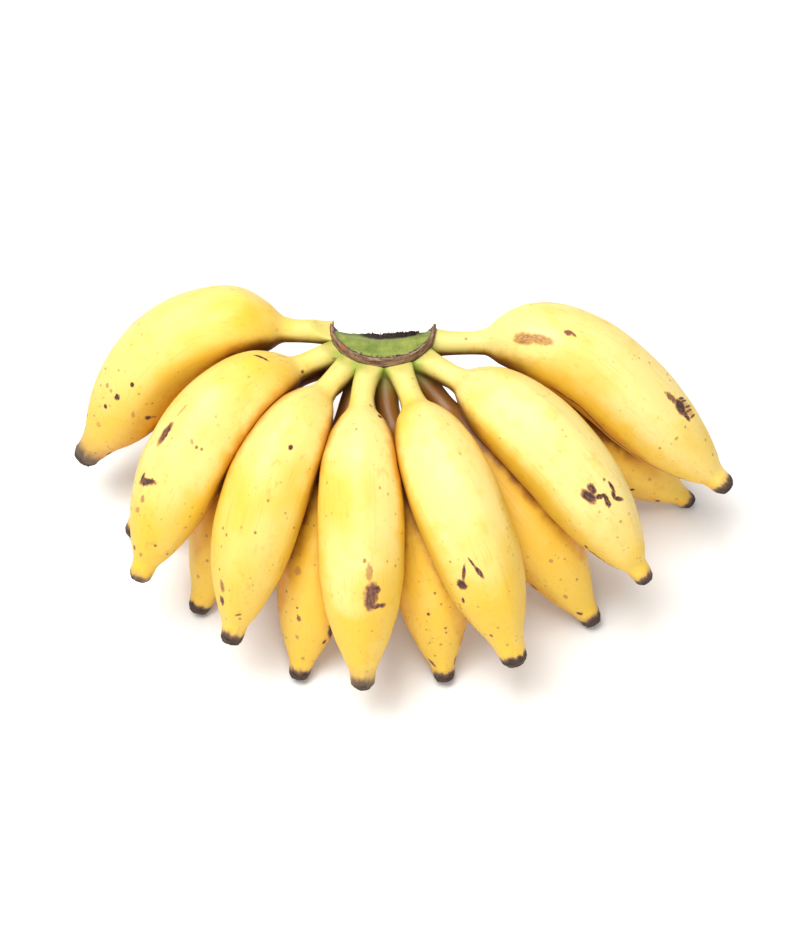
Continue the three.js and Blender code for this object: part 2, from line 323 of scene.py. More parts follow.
def bananaTree():
    tree = newShapeTree("bananaSkin", {
        "Rings": "Int", "Sides": "Int", "Length": "Float", "Ridge Count": "Float", "Ridge Height": "Float",
        "Ridge Turn": "Float", "Lump Height": "Float", "Lump Size": "Float", "Tip Wrinkle": "Float",
        "Tip Hollow": "Float", "Seed": "Float", "Peel": "Material",
    })
    given = addNode(tree, "NodeGroupInput").outputs
    path = addNode(tree, "GeometryNodeMeshToCurve", {"Mesh": given["Geometry"]}).outputs[0]
    barrel = addNode(tree, "GeometryNodeMeshCylinder", {
        "Vertices": given["Sides"], "Side Segments": given["Rings"], "Fill Segments": 7, "Radius": 1.0,
        "Depth": 1.0}, fill_type="TRIANGLE_FAN").outputs["Mesh"]
    here = addNode(tree, "GeometryNodeInputPosition").outputs[0]
    parts = addNode(tree, "ShaderNodeSeparateXYZ", {0: here}).outputs
    even = addNode(tree, "ShaderNodeMath", {0: parts["Z"], 1: 0.5}, operation="ADD").outputs[0]
    half = addNode(tree, "ShaderNodeMath", {0: even, 1: math.pi}, operation="MULTIPLY").outputs[0]
    cosHalf = addNode(tree, "ShaderNodeMath", {0: half}, operation="COSINE").outputs[0]
    eased = addNode(tree, "ShaderNodeMath", {0: cosHalf, 1: -0.5, 2: 0.5},
                    operation="MULTIPLY_ADD").outputs[0]
    # rings crowd towards both ends, where the shape changes most
    share = addNode(tree, "ShaderNodeMix", {0: 0.6, 2: even, 3: eased}, data_type="FLOAT").outputs[0]
    angle = addNode(tree, "ShaderNodeMath", {0: parts["Y"], 1: parts["X"]}, operation="ARCTAN2").outputs[0]
    flat = addNode(tree, "ShaderNodeCombineXYZ", {"X": parts["X"], "Y": parts["Y"]}).outputs[0]
    reach = addNode(tree, "ShaderNodeVectorMath", {0: flat}, operation="LENGTH").outputs["Value"]
    taken = {}
    for label, kind in (("place", "FLOAT"), ("girth", "FLOAT"), ("ridge", "FLOAT"),
                        ("across", "FLOAT_VECTOR"), ("up", "FLOAT_VECTOR")):
        stored = addNode(tree, "GeometryNodeInputNamedAttribute", {"Name": label},
                         data_type=kind).outputs[0]
        sample = addNode(tree, "GeometryNodeSampleCurve",
                         {"Curves": path, "Value": stored, "Factor": share},
                         data_type=kind, mode="FACTOR")
        taken[label] = sample.outputs["Value"]
        taken["middle"] = sample.outputs["Position"]
    cosine = addNode(tree, "ShaderNodeMath", {0: angle}, operation="COSINE").outputs[0]
    sine = addNode(tree, "ShaderNodeMath", {0: angle}, operation="SINE").outputs[0]

    # five soft ridges along the fruit
    turned = addNode(tree, "ShaderNodeMath", {0: angle, 1: given["Ridge Turn"]},
                     operation="SUBTRACT").outputs[0]
    turns = addNode(tree, "ShaderNodeMath", {0: turned, 1: given["Ridge Count"]},
                    operation="MULTIPLY").outputs[0]
    twice = addNode(tree, "ShaderNodeMath", {0: turns, 1: 2.0}, operation="MULTIPLY").outputs[0]
    slowWave = addNode(tree, "ShaderNodeMath", {0: turns}, operation="COSINE").outputs[0]
    fastWave = addNode(tree, "ShaderNodeMath", {0: twice}, operation="COSINE").outputs[0]
    # the second wave flattens the faces between the ridges
    wave = addNode(tree, "ShaderNodeMath", {0: fastWave, 1: 0.22, 2: slowWave},
                   operation="MULTIPLY_ADD").outputs[0]
    crest = addNode(tree, "ShaderNodeMath", {0: wave, 1: taken["ridge"]}, operation="MULTIPLY").outputs[0]
    raised = addNode(tree, "ShaderNodeMath", {0: crest, 1: given["Ridge Height"], 2: 1.0},
                     operation="MULTIPLY_ADD").outputs[0]
    radius = addNode(tree, "ShaderNodeMath", {0: taken["girth"], 1: raised},
                     operation="MULTIPLY").outputs[0]

    # the same point on an unbent fruit, which lumps and the peel's pattern follow
    run = addNode(tree, "ShaderNodeMath", {0: taken["place"], 1: given["Length"]},
                  operation="MULTIPLY").outputs[0]
    side = addNode(tree, "ShaderNodeMath", {0: radius, 1: reach}, operation="MULTIPLY").outputs[0]
    skinY = addNode(tree, "ShaderNodeMath", {0: side, 1: cosine}, operation="MULTIPLY").outputs[0]
    skinZ = addNode(tree, "ShaderNodeMath", {0: side, 1: sine}, operation="MULTIPLY").outputs[0]
    skin = addNode(tree, "ShaderNodeCombineXYZ", {"X": run, "Y": skinY, "Z": skinZ}).outputs[0]

    # slow lumps, and wrinkles at the dry tip
    spread = addNode(tree, "ShaderNodeVectorMath", {0: skin, 1: given["Lump Size"]},
                     operation="DIVIDE").outputs[0]
    lump = addNode(tree, "ShaderNodeTexNoise", {"Vector": spread, "W": given["Seed"], "Scale": 1.0,
                                                "Detail": 1.0}, noise_dimensions="4D").outputs[0]
    centred = addNode(tree, "ShaderNodeMath", {0: lump, 1: 0.5}, operation="SUBTRACT").outputs[0]
    lumpy = addNode(tree, "ShaderNodeMath", {0: centred, 1: given["Lump Height"]},
                    operation="MULTIPLY").outputs[0]
    lumps = addNode(tree, "ShaderNodeMath", {0: lumpy, 1: taken["ridge"]}, operation="MULTIPLY").outputs[0]
    folds = addNode(tree, "ShaderNodeVectorMath", {0: skin, 1: (0.25, 0.7, 0.7)},
                    operation="MULTIPLY").outputs[0]
    crease = addNode(tree, "ShaderNodeTexNoise", {"Vector": folds, "W": given["Seed"], "Scale": 1.0,
                                                  "Detail": 3.0}, noise_dimensions="4D").outputs[0]
    dry = addNode(tree, "ShaderNodeMapRange", {0: taken["place"], 1: 0.93, 2: 0.97}, **smooth).outputs[0]
    pinch = addNode(tree, "ShaderNodeMath", {0: crease, 1: 0.62}, operation="SUBTRACT").outputs[0]
    pinched = addNode(tree, "ShaderNodeMath", {0: pinch, 1: given["Tip Wrinkle"]},
                      operation="MULTIPLY").outputs[0]
    wrinkle = addNode(tree, "ShaderNodeMath", {0: pinched, 1: dry}, operation="MULTIPLY").outputs[0]
    swell = addNode(tree, "ShaderNodeMath", {0: wrinkle, 1: 3.0, 2: lumps},
                    operation="MULTIPLY_ADD").outputs[0]
    outer = addNode(tree, "ShaderNodeMath", {0: swell, 1: reach, 2: side},
                    operation="MULTIPLY_ADD").outputs[0]

    # the round section, set on the spine
    rise = addNode(tree, "ShaderNodeVectorMath", {0: taken["up"], "Scale": cosine},
                   operation="SCALE").outputs[0]
    lean = addNode(tree, "ShaderNodeVectorMath", {0: taken["across"], "Scale": sine},
                   operation="SCALE").outputs[0]
    outward = addNode(tree, "ShaderNodeVectorMath", {0: rise, 1: lean}, operation="SUBTRACT").outputs[0]
    push = addNode(tree, "ShaderNodeVectorMath", {0: outward, "Scale": outer}, operation="SCALE").outputs[0]
    ring = addNode(tree, "ShaderNodeVectorMath", {0: taken["middle"], 1: push}, operation="ADD").outputs[0]

    # the flat dry end sinks in towards its middle
    forward = addNode(tree, "ShaderNodeVectorMath", {0: taken["across"], 1: taken["up"]},
                      operation="CROSS_PRODUCT").outputs[0]
    inner = addNode(tree, "ShaderNodeMapRange", {0: reach, 1: 1.0, 2: 0.3}, **smooth).outputs[0]
    atEnd = addNode(tree, "ShaderNodeMath", {0: share, 1: 0.9995}, operation="GREATER_THAN").outputs[0]
    sunk = addNode(tree, "ShaderNodeMath", {0: inner, 1: atEnd}, operation="MULTIPLY").outputs[0]
    ragged = addNode(tree, "ShaderNodeMath", {0: crease, 1: given["Tip Hollow"]},
                     operation="MULTIPLY").outputs[0]
    depth = addNode(tree, "ShaderNodeMath", {0: sunk, 1: ragged}, operation="MULTIPLY").outputs[0]
    back = addNode(tree, "ShaderNodeMath", {0: depth, 1: -2.0}, operation="MULTIPLY").outputs[0]
    sink = addNode(tree, "ShaderNodeVectorMath", {0: forward, "Scale": back}, operation="SCALE").outputs[0]
    spot = addNode(tree, "ShaderNodeVectorMath", {0: ring, 1: sink}, operation="ADD").outputs[0]

    shape = barrel
    for label, kind, value in (("skin", "FLOAT_VECTOR", skin), ("place", "FLOAT", taken["place"]),
                               ("reach", "FLOAT", reach), ("crest", "FLOAT", crest),
                               ("middle", "FLOAT_VECTOR", taken["middle"])):
        shape = addNode(tree, "GeometryNodeStoreNamedAttribute",
                        {"Geometry": shape, "Name": label, "Value": value},
                        data_type=kind, domain="POINT").outputs[0]
    placed = addNode(tree, "GeometryNodeSetPosition", {"Geometry": shape, "Position": spot}).outputs[0]
    real = addNode(tree, "GeometryNodeRealizeInstances", {"Geometry": placed}).outputs[0]
    coated = addNode(tree, "GeometryNodeSetMaterial",
                     {"Geometry": real, "Material": given["Peel"]}).outputs[0]
    addNode(tree, "NodeGroupOutput", {"Geometry": coated})
    return tree


def outsideOf(spine, points):
    middle, girth = spine["point"][::2], spine["girth"][::2]
    square = (points ** 2).sum(1)[:, None] + (middle ** 2).sum(1)[None] - 2 * points @ middle.T
    return (np.sqrt(np.maximum(square, 0)) - girth[None]).min(1)


def neighboursOf(name, spines, reach):
    own = spines[name]["point"][::8]
    return [spine for other, spine in spines.items() if other != name
            and np.linalg.norm(spine["point"][::8][:, None] - own[None], axis=2).min() < reach]


def nearestOther(name, spines, points):
    gap = np.full(len(points), 99.0)  # far away
    for spine in neighboursOf(name, spines, bananaShape["pressNear"]):
        gap = np.minimum(gap, outsideOf(spine, points))
    return gap


def pressedTogether(name, spines, points, middles):
    own = spines[name]
    away = points - middles
    free = np.linalg.norm(away, axis=1)
    outward = away / np.maximum(free, 1e-6)[:, None]

    def room(radius, which):
        at = middles[which] + outward[which] * radius[:, None]
        return nearestOther(name, spines, at) - outsideOf(own, at) >= 2 * hand["touch"]

    everyone = np.arange(len(points))
    tight = everyone[~room(free, everyone)]
    low, high = np.zeros(len(tight)), free[tight].copy()
    for _ in range(10):
        half = (low + high) / 2
        fits = room(half, tight)
        low, high = np.where(fits, half, low), np.where(fits, high, half)
    radius = free.copy()
    radius[tight] = low
    return middles + outward * radius[:, None]


def shadeOn(name, spines, points, middles):
    # painted shade: 0 where the skin looks up at open air, 1 deep in a crease or right under the fruit; the
    # peel's colour darkens with it
    outward = (points - middles).astype(np.float32)
    outward /= np.maximum(np.linalg.norm(outward, axis=1), 1e-6)[:, None]
    lean = math.radians(hand["lean"])
    up = np.array([0, -math.sin(lean), math.cos(lean)], np.float32)
    back = np.array([0, math.cos(lean), math.sin(lean)], np.float32)
    side = np.array([1, 0, 0], np.float32)
    step = bananaShape["ballStep"]
    near = neighboursOf(name, spines, bananaShape["shadeNear"])
    balls = np.vstack([spine["point"][::step] for spine in near]).astype(np.float32)
    sizes = np.concatenate([spine["girth"][::step] for spine in near]).astype(np.float32)
    spots = points.astype(np.float32)
    square = (spots ** 2).sum(1)[:, None] + (balls ** 2).sum(1)[None] - 2 * spots @ balls.T
    light, full = 0.0, 0.0
    for turn in range(9):  # eight patches of sky all round, and one overhead
        angle = turn * math.pi / 4
        sky = up if turn == 8 else 0.72 * up + 0.69 * (math.cos(angle) * side + math.sin(angle) * back)
        ahead = (balls @ sky)[None] - (spots @ sky)[:, None]
        miss = np.sqrt(np.maximum(square - ahead ** 2, 0)) - sizes[None]
        clear = np.where(ahead > 0, easeStep(miss, -2, 2), 1).min(1)
        light = light + np.maximum(outward @ sky, 0) * clear
        full += float(up @ sky)
    return 1 - light / full


def rootedIn(spine, shape, points, place):
    foot = place < bananaShape["stalkEnd"]
    along = spine["along"][0]
    near = points[foot]
    top = bananaShape["rootTop"] if shape["rootTop"] is None else shape["rootTop"]
    roof = top + 10 * easeStep(place[foot], 0, 0.13)  # the stalk dips under the bark
    over = near[:, 2] - roof + 2
    near[:, 2] -= np.where(over > 0, over * over / (over + 3), 0)
    at = near - along * (place[foot] * shape["length"])[:, None]
    shift = np.zeros(len(at))
    for _ in range(8):
        spot = at + along * shift[:, None]
        wall = crownShape["rimRadius"] - wallInset(-spot[:, 2]) - bananaShape["rootBury"]
        shift += (wall - np.hypot(spot[:, 0], spot[:, 1])) / np.linalg.norm(along[:2])
    points = points.copy()
    points[foot] = near + along * (shift * (1 - easeStep(place[foot], 0, 0.06)))[:, None]
    return points


# banana peel, ripe: waxy and soft, a little light goes in. It dries to corky brown at the tip
peelLook = {
    "lemon": "#F4DB88", "golden": "#ECC13A", "shadeAmber": "#DCA020", "deep": "#C9822A", "creaseOrange": "#CB8418",
    "shadeUmber": "#7A4410", "root": "#9CAD49", "stalk": "#D6CC74", "tan": "#B98D54", "brown": "#5E4230",
    "cork": "#5E4A36", "dark": "#241914", "halo": "#B98445", "bruise": "#87563C", "scab": "#3F271D",
    "scuff": "#B08A58", "pore": "#8A6A2C",
    "mottleSize": 30, "fibreSize": 0.7, "fibreRun": 26, "poreSize": 2.2, "roughness": 0.5,
}

# marks seen in the photo: place along the fruit, degrees round it from its top, and sizes in millimetres.
# tone 1 is nearly black, 0.5 is light brown
marks = {
    "upper_banana_1": [
        {"place": 0.6, "round": -52, "long": 2.0, "wide": 1.9},
        {"place": 0.67, "round": -44, "long": 2.8, "wide": 2.2},
        {"place": 0.73, "round": -36, "long": 2.1, "wide": 2.0},
        {"place": 0.67, "round": -22, "long": 2.4, "wide": 2.0, "tone": 0.5},
        {"place": 0.67, "round": -32, "long": 2.0, "wide": 1.8, "tone": 0.45},
        {"place": 0.67, "round": -98, "long": 3.0, "wide": 2.6},
        {"place": 0.66, "round": -106, "long": 3.8, "wide": 1.1, "turn": -75, "tone": 0.7},
        {"place": 0.68, "round": -76, "long": 4.2, "wide": 1.8, "turn": 30, "tone": 0.4},
        {"place": 0.91, "round": -122, "long": 3.2, "wide": 2.2, "tone": 0.95},
        {"place": 0.81, "round": -40, "long": 3.2, "wide": 2.8, "tone": 0.35},
        {"place": 0.51, "round": 30, "long": 13.8, "wide": 3.0, "turn": 15, "tone": 0.5},
    ],
    "upper_banana_2": [
        {"place": 0.56, "round": 16, "long": 9.0, "wide": 4.2, "turn": -10, "tone": 0.85},
        {"place": 0.58, "round": 16, "long": 3.8, "wide": 1.5, "tone": 0.6},
        {"place": 0.49, "round": 12, "long": 6.0, "wide": 1.6, "turn": -10, "tone": 0.35},
        {"place": 0.69, "round": 12, "long": 10.6, "wide": 2.9, "turn": -70, "tone": 0.95},
        {"place": 0.69, "round": 24, "long": 5.0, "wide": 2.0, "turn": -15, "tone": 0.9},
        {"place": 0.74, "round": 12, "long": 3.2, "wide": 2.8, "tone": 0.5},
        {"place": 0.78, "round": 20, "long": 3.8, "wide": 2.5, "turn": -60, "tone": 0.45},
        {"place": 0.9, "round": 24, "long": 2.2, "wide": 1.9, "tone": 0.8},
        {"place": 0.91, "round": -6, "long": 2.0, "wide": 1.8, "tone": 0.5},
        {"place": 0.25, "round": -2, "long": 6.5, "wide": 1.2, "turn": -60, "tone": 0.95},
        {"place": 0.22, "round": -88, "long": 3.8, "wide": 2.0, "turn": -20, "tone": 0.9},
        {"place": 0.14, "round": -68, "long": 1.9, "wide": 1.8, "tone": 0.65},
        {"place": 0.54, "round": -24, "long": 2.8, "wide": 1.4, "turn": 55, "tone": 0.4},
    ],
    "upper_banana_3": [
        {"place": 0.38, "round": -28, "long": 2.0, "wide": 2.0},
        {"place": 0.86, "round": 28, "long": 4.2, "wide": 2.6, "tone": 0.95},
        {"place": 0.81, "round": 24, "long": 5.8, "wide": 3.0, "turn": 10, "tone": 0.55},
        {"place": 0.89, "round": -22, "long": 3.0, "wide": 1.4, "turn": -60, "tone": 0.55},
        {"place": 0.65, "round": 22, "long": 1.6, "wide": 1.4, "tone": 0.5},
    ],
    "upper_banana_4": [
        {"place": 0.68, "round": -14, "long": 9.4, "wide": 6.5, "tone": 0.78},
        {"place": 0.7, "round": -12, "long": 8.8, "wide": 5.2, "tone": 0.76},
        {"place": 0.67, "round": -22, "long": 3.8, "wide": 2.8, "turn": 35, "tone": 0.85},
        {"place": 0.72, "round": -24, "long": 8.0, "wide": 2.1, "turn": -85, "tone": 0.8},
        {"place": 0.62, "round": -10, "long": 7.5, "wide": 3.1, "tone": 0.42},
        {"place": 0.59, "round": -4, "long": 1.9, "wide": 1.8, "tone": 0.5},
        {"place": 0.15, "round": -40, "long": 1.8, "wide": 1.6, "tone": 0.5},
        {"place": 0.19, "round": -54, "long": 3.0, "wide": 1.6, "turn": -75, "tone": 0.9},
    ],
    "upper_banana_5": [
        {"place": 0.68, "round": 60, "long": 4.5, "wide": 4.0, "tone": 0.95},
        {"place": 0.65, "round": 50, "long": 7.5, "wide": 1.5, "turn": -30, "tone": 0.85},
        {"place": 0.63, "round": 34, "long": 5.0, "wide": 1.1, "turn": 15, "tone": 0.8},
        {"place": 0.66, "round": 30, "long": 6.0, "wide": 1.9, "turn": 15, "tone": 0.9},
        {"place": 0.73, "round": 70, "long": 2.9, "wide": 1.4, "turn": -25, "tone": 0.9},
        {"place": 0.76, "round": 88, "long": 1.8, "wide": 1.6, "tone": 0.6},
        {"place": 0.82, "round": -72, "long": 20.0, "wide": 1.0, "tone": 0.75},
        {"place": 0.73, "round": -68, "long": 15.0, "wide": 1.0, "turn": -6, "tone": 0.6},
        {"place": 0.87, "round": 62, "long": 1.9, "wide": 1.6, "tone": 0.65},
        {"place": 0.81, "round": 100, "long": 16.2, "wide": 4.2, "turn": -10, "tone": 0.3},
    ],
    "upper_banana_6": [
        {"place": 0.65, "round": 38, "long": 6.8, "wide": 4.6, "turn": 15, "tone": 0.95},
        {"place": 0.64, "round": 28, "long": 4.8, "wide": 3.0, "tone": 0.85},
        {"place": 0.67, "round": 24, "long": 5.0, "wide": 2.1, "turn": 75, "tone": 0.9},
        {"place": 0.69, "round": 20, "long": 6.2, "wide": 2.1, "turn": -10, "tone": 0.9},
        {"place": 0.67, "round": 4, "long": 5.0, "wide": 1.6, "tone": 0.95},
        {"place": 0.69, "round": 8, "long": 3.5, "wide": 1.9, "turn": -15, "tone": 0.9},
        {"place": 0.71, "round": 4, "long": 5.2, "wide": 1.9, "turn": 50, "tone": 0.9},
        {"place": 0.79, "round": 104, "long": 3.2, "wide": 1.6, "turn": -40, "tone": 0.9},
        {"place": 0.84, "round": 112, "long": 10.6, "wide": 1.9, "turn": -8},
        {"place": 0.89, "round": 114, "long": 8.8, "wide": 1.1, "tone": 0.8},
        {"place": 0.64, "round": 8, "long": 1.5, "wide": 1.4, "tone": 0.6},
    ],
    "upper_banana_7": [
        {"place": 0.25, "round": 46, "long": 8.8, "wide": 6.0, "turn": -10, "tone": 0.54},
        {"place": 0.29, "round": 44, "long": 11.2, "wide": 4.5, "tone": 0.52},
        {"place": 0.35, "round": 24, "long": 2.8, "wide": 2.4, "tone": 0.72},
        {"place": 0.36, "round": 22, "long": 4.0, "wide": 1.5, "turn": -25, "tone": 0.7},
        {"place": 0.71, "round": 2, "long": 7.0, "wide": 5.8, "turn": -30, "tone": 0.95},
        {"place": 0.67, "round": 4, "long": 7.2, "wide": 3.5, "turn": 10, "tone": 0.75},
        {"place": 0.74, "round": 4, "long": 6.0, "wide": 2.8, "tone": 0.9},
        {"place": 0.7, "round": -12, "long": 4.2, "wide": 1.4, "turn": 60, "tone": 0.9},
        {"place": 0.71, "round": -12, "long": 5.8, "wide": 1.1, "turn": 62, "tone": 0.85},
        {"place": 0.73, "round": -12, "long": 6.0, "wide": 1.1, "turn": 66, "tone": 0.85},
        {"place": 0.74, "round": -8, "long": 6.0, "wide": 1.1, "turn": 70, "tone": 0.85},
        {"place": 0.76, "round": -8, "long": 5.0, "wide": 1.1, "turn": 76, "tone": 0.8},
        {"place": 0.73, "round": -6, "long": 11.0, "wide": 8.0, "turn": 20, "tone": 0.34},
        {"place": 0.4, "round": 108, "long": 11.9, "wide": 1.2, "tone": 0.85},
        {"place": 0.46, "round": 106, "long": 11.9, "wide": 1.0, "turn": 6, "tone": 0.75},
        {"place": 0.54, "round": 108, "long": 17.5, "wide": 1.1, "turn": -6, "tone": 0.85},
        {"place": 0.63, "round": 112, "long": 20.0, "wide": 1.1, "tone": 0.8},
        {"place": 0.75, "round": 112, "long": 22.5, "wide": 1.0, "tone": 0.7},
        {"place": 0.85, "round": 112, "long": 11.2, "wide": 1.0, "tone": 0.65},
        {"place": 0.09, "round": 26, "long": 1.6, "wide": 1.5, "tone": 0.5},
    ],
    "lower_banana_2": [
        {"place": 0.76, "round": -18, "long": 1.8, "wide": 1.6, "tone": 0.5},
        {"place": 0.84, "round": -4, "long": 2.5, "wide": 1.9, "tone": 0.4},
    ],
    "lower_banana_3": [
        {"place": 0.76, "round": 4, "long": 3.5, "wide": 2.4, "turn": 20, "tone": 0.7},
        {"place": 0.83, "round": 4, "long": 2.5, "wide": 2.4, "tone": 0.45},
        {"place": 0.8, "round": -66, "long": 8.8, "wide": 2.8, "turn": 25, "tone": 0.95},
        {"place": 0.84, "round": -62, "long": 2.4, "wide": 2.0, "tone": 0.85},
        {"place": 0.61, "round": 16, "long": 4.5, "wide": 4.0, "tone": 0.35},
        {"place": 0.91, "round": -16, "long": 2.2, "wide": 1.8, "tone": 0.4},
    ],
    "lower_banana_4": [
        {"place": 0.72, "round": 24, "long": 1.6, "wide": 1.5, "tone": 0.9},
        {"place": 0.83, "round": -70, "long": 4.2, "wide": 3.0, "tone": 0.95},
        {"place": 0.86, "round": -66, "long": 6.2, "wide": 2.5, "tone": 0.7},
        {"place": 0.84, "round": 10, "long": 1.8, "wide": 1.6, "tone": 0.4},
        {"place": 0.92, "round": 56, "long": 5.2, "wide": 1.8, "turn": 20, "tone": 0.8},
        {"place": 0.93, "round": -60, "long": 5.8, "wide": 1.8, "turn": 20, "tone": 0.8},
    ],
    "lower_banana_5": [
        {"place": 0.76, "round": 118, "long": 4.2, "wide": 2.8},
        {"place": 0.67, "round": 48, "long": 2.4, "wide": 1.9, "tone": 0.4},
        {"place": 0.82, "round": 64, "long": 3.2, "wide": 1.9, "tone": 0.45},
        {"place": 0.92, "round": 70, "long": 3.5, "wide": 1.9, "turn": 20, "tone": 0.9},
    ],
    "lower_banana_6": [
        {"place": 0.74, "round": 96, "long": 2.1, "wide": 2.0},
        {"place": 0.87, "round": 112, "long": 4.0, "wide": 2.1, "turn": -40, "tone": 0.95},
        {"place": 0.71, "round": 140, "long": 1.9, "wide": 1.8, "tone": 0.5},
        {"place": 0.76, "round": 60, "long": 2.5, "wide": 1.6, "tone": 0.4},
    ],
}


def peelMaterial(name, shape, spine, seed):
    look = peelLook
    ink = {label: fromHex(code) for label, code in look.items() if isinstance(code, str)}
    material = bpy.data.materials.new("ripePeel_" + name)
    material.use_nodes = True
    tree = material.node_tree
    peel = tree.nodes["Principled BSDF"]
    skin = addNode(tree, "ShaderNodeAttribute", attribute_name="skin").outputs["Vector"]
    place, crest, closeness, shade = [
        addNode(tree, "ShaderNodeAttribute", attribute_name=label).outputs["Fac"]
        for label in ("place", "crest", "closeness", "shade")]

    def onSkin(size, detail=3.0, stretch=(1, 1, 1), shift=0.0, rough=0.5):
        # a pattern of this size in millimetres, laid on the unbent fruit
        spread = addNode(tree, "ShaderNodeMapping", {
            "Vector": skin, "Scale": tuple(share / size for share in stretch)}).outputs[0]
        return addNode(tree, "ShaderNodeTexNoise", {
            "Vector": spread, "W": seed + shift, "Scale": 1.0, "Detail": detail, "Roughness": rough,
        }, noise_dimensions="4D").outputs

    # ground colour: lemon, golden in slow patches. Painted shade from the shade attribute keeps the tops
    # lemon, makes the sides golden and the creases amber to brown
    fine = onSkin(5, 4.0, shift=3)[0]
    patches = addNode(tree, "ShaderNodeMapRange", {
        0: onSkin(look["mottleSize"], 2.0)[0], 1: 0.42, 2: 0.7, 3: 0, 4: 0.8}, **smooth).outputs[0]
    warmTone = addNode(tree, "ShaderNodeMath", {0: patches, 1: shape["warm"]}, operation="ADD").outputs[0]
    tipward = addNode(tree, "ShaderNodeMapRange", {0: place, 1: 0.6, 2: 0.88, 3: 0, 4: 0.7},
                      **smooth).outputs[0]
    warm = addNode(tree, "ShaderNodeMath", {0: warmTone, 1: tipward}, operation="ADD").outputs[0]
    colour = addNode(tree, "ShaderNodeMix", {0: warm, 6: ink["lemon"], 7: ink["golden"]}, **mixed).outputs[2]
    colour = coat(tree, colour, ink["golden"], fine, 0.5, 0.72, 0.35)
    uneven = addNode(tree, "ShaderNodeMath", {0: fine, 1: 0.5}, operation="SUBTRACT").outputs[0]
    shadeAmount = addNode(tree, "ShaderNodeMath", {0: uneven, 1: 0.25, 2: shade},
                     operation="MULTIPLY_ADD").outputs[0]
    colour = coat(tree, colour, ink["golden"], shadeAmount, 0.34, 0.7)
    colour = coat(tree, colour, ink["shadeAmber"], shadeAmount, 0.7, 0.97)
    broken = addNode(tree, "ShaderNodeMapRange", {0: fine, 1: 0.3, 2: 0.6, 3: 0.7, 4: 1},
                     **smooth).outputs[0]
    # painted crease shade: the peel turns orange where a neighbouring fruit comes close
    creaseShade = addNode(tree, "ShaderNodeMath", {0: closeness, 1: broken}, operation="MULTIPLY").outputs[0]
    colour = coat(tree, colour, ink["creaseOrange"], creaseShade, 0.2, 0.75, 0.7)
    # painted shade: umber where deep shade meets a close neighbour, and on the stalks in the shade, more on
    # the lower row
    low = addNode(tree, "ShaderNodeMapRange", {0: shadeAmount, 1: 0.7, 2: 0.95}, **smooth).outputs[0]
    pressed = addNode(tree, "ShaderNodeMapRange", {0: creaseShade, 1: 0.25, 2: 0.8}, **smooth).outputs[0]
    deepest = addNode(tree, "ShaderNodeMath", {0: low, 1: pressed}, operation="MULTIPLY").outputs[0]
    under = shape["under"]
    dim = addNode(tree, "ShaderNodeMapRange", {
        0: shadeAmount, 1: 0.4 - under, 2: 0.8 - under, 3: 0, 4: 0.92}, **smooth).outputs[0]
    atStalk = addNode(tree, "ShaderNodeMapRange", {0: place, 1: 0.34, 2: 0.2}, **smooth).outputs[0]
    covered = addNode(tree, "ShaderNodeMath", {0: dim, 1: atStalk}, operation="MULTIPLY").outputs[0]
    darkest = addNode(tree, "ShaderNodeMath", {0: deepest, 1: covered}, operation="MAXIMUM").outputs[0]
    colour = addNode(tree, "ShaderNodeMix", {0: darkest, 6: colour, 7: ink["shadeUmber"]}, **mixed).outputs[2]

    # fine fibres that run from stalk to tip
    fibre = onSkin(look["fibreSize"], 2.0, (look["fibreSize"] / look["fibreRun"], 1, 1), 7)[0]
    colour = coat(tree, colour, ink["deep"], fibre, 0.54, 0.74, 0.2)

    # the stalk is paler and a little green where the shade attribute says it is lit, which is painted light,
    # and green down in the angles where it leaves the crown
    wobble = addNode(tree, "ShaderNodeMath", {0: uneven, 1: 0.06, 2: place},
                     operation="MULTIPLY_ADD").outputs[0]
    onStalk = addNode(tree, "ShaderNodeMapRange", {0: wobble, 1: 0.17, 2: 0.05, 3: 0, 4: 0.75},
                      **smooth).outputs[0]
    lit = addNode(tree, "ShaderNodeMapRange", {0: shadeAmount, 1: 0.9 - under, 2: 0.5 - under},
                  **smooth).outputs[0]
    pale = addNode(tree, "ShaderNodeMath", {0: onStalk, 1: lit}, operation="MULTIPLY").outputs[0]
    colour = addNode(tree, "ShaderNodeMix", {0: pale, 6: colour, 7: ink["stalk"]}, **mixed).outputs[2]
    threads = addNode(tree, "ShaderNodeMath", {0: fibre, 1: 0.5}, operation="SUBTRACT").outputs[0]
    streaky = addNode(tree, "ShaderNodeMath", {0: threads, 1: 0.06, 2: wobble},
                      operation="MULTIPLY_ADD").outputs[0]
    near = addNode(tree, "ShaderNodeMapRange", {0: closeness, 1: 0.2, 2: 0.7, 3: 0.2, 4: 0.9}, **smooth).outputs[0]
    angled = addNode(tree, "ShaderNodeMath", {0: near, 1: shape["green"]}, operation="MULTIPLY").outputs[0]
    foot = addNode(tree, "ShaderNodeMapRange", {0: streaky, 1: 0.06, 2: 0.015}, **smooth).outputs[0]
    fresh = addNode(tree, "ShaderNodeMath", {0: foot, 1: angled}, operation="MULTIPLY").outputs[0]
    colour = addNode(tree, "ShaderNodeMix", {0: fresh, 6: colour, 7: ink["root"]}, **mixed).outputs[2]

    # the ridges are rubbed brown in places
    ridge = addNode(tree, "ShaderNodeMapRange", {0: crest, 1: 0.75, 2: 1}, **smooth).outputs[0]
    scraped = addNode(tree, "ShaderNodeMapRange", {
        0: onSkin(9, 4.0, (0.35, 1, 1), 11)[0], 1: 0.55, 2: 0.68}, **smooth).outputs[0]
    worn = addNode(tree, "ShaderNodeMath", {0: ridge, 1: scraped}, operation="MULTIPLY").outputs[0]
    half = addNode(tree, "ShaderNodeMath", {0: worn, 1: 0.5}, operation="MULTIPLY").outputs[0]
    colour = addNode(tree, "ShaderNodeMix", {0: half, 6: colour, 7: ink["scuff"]}, **mixed).outputs[2]

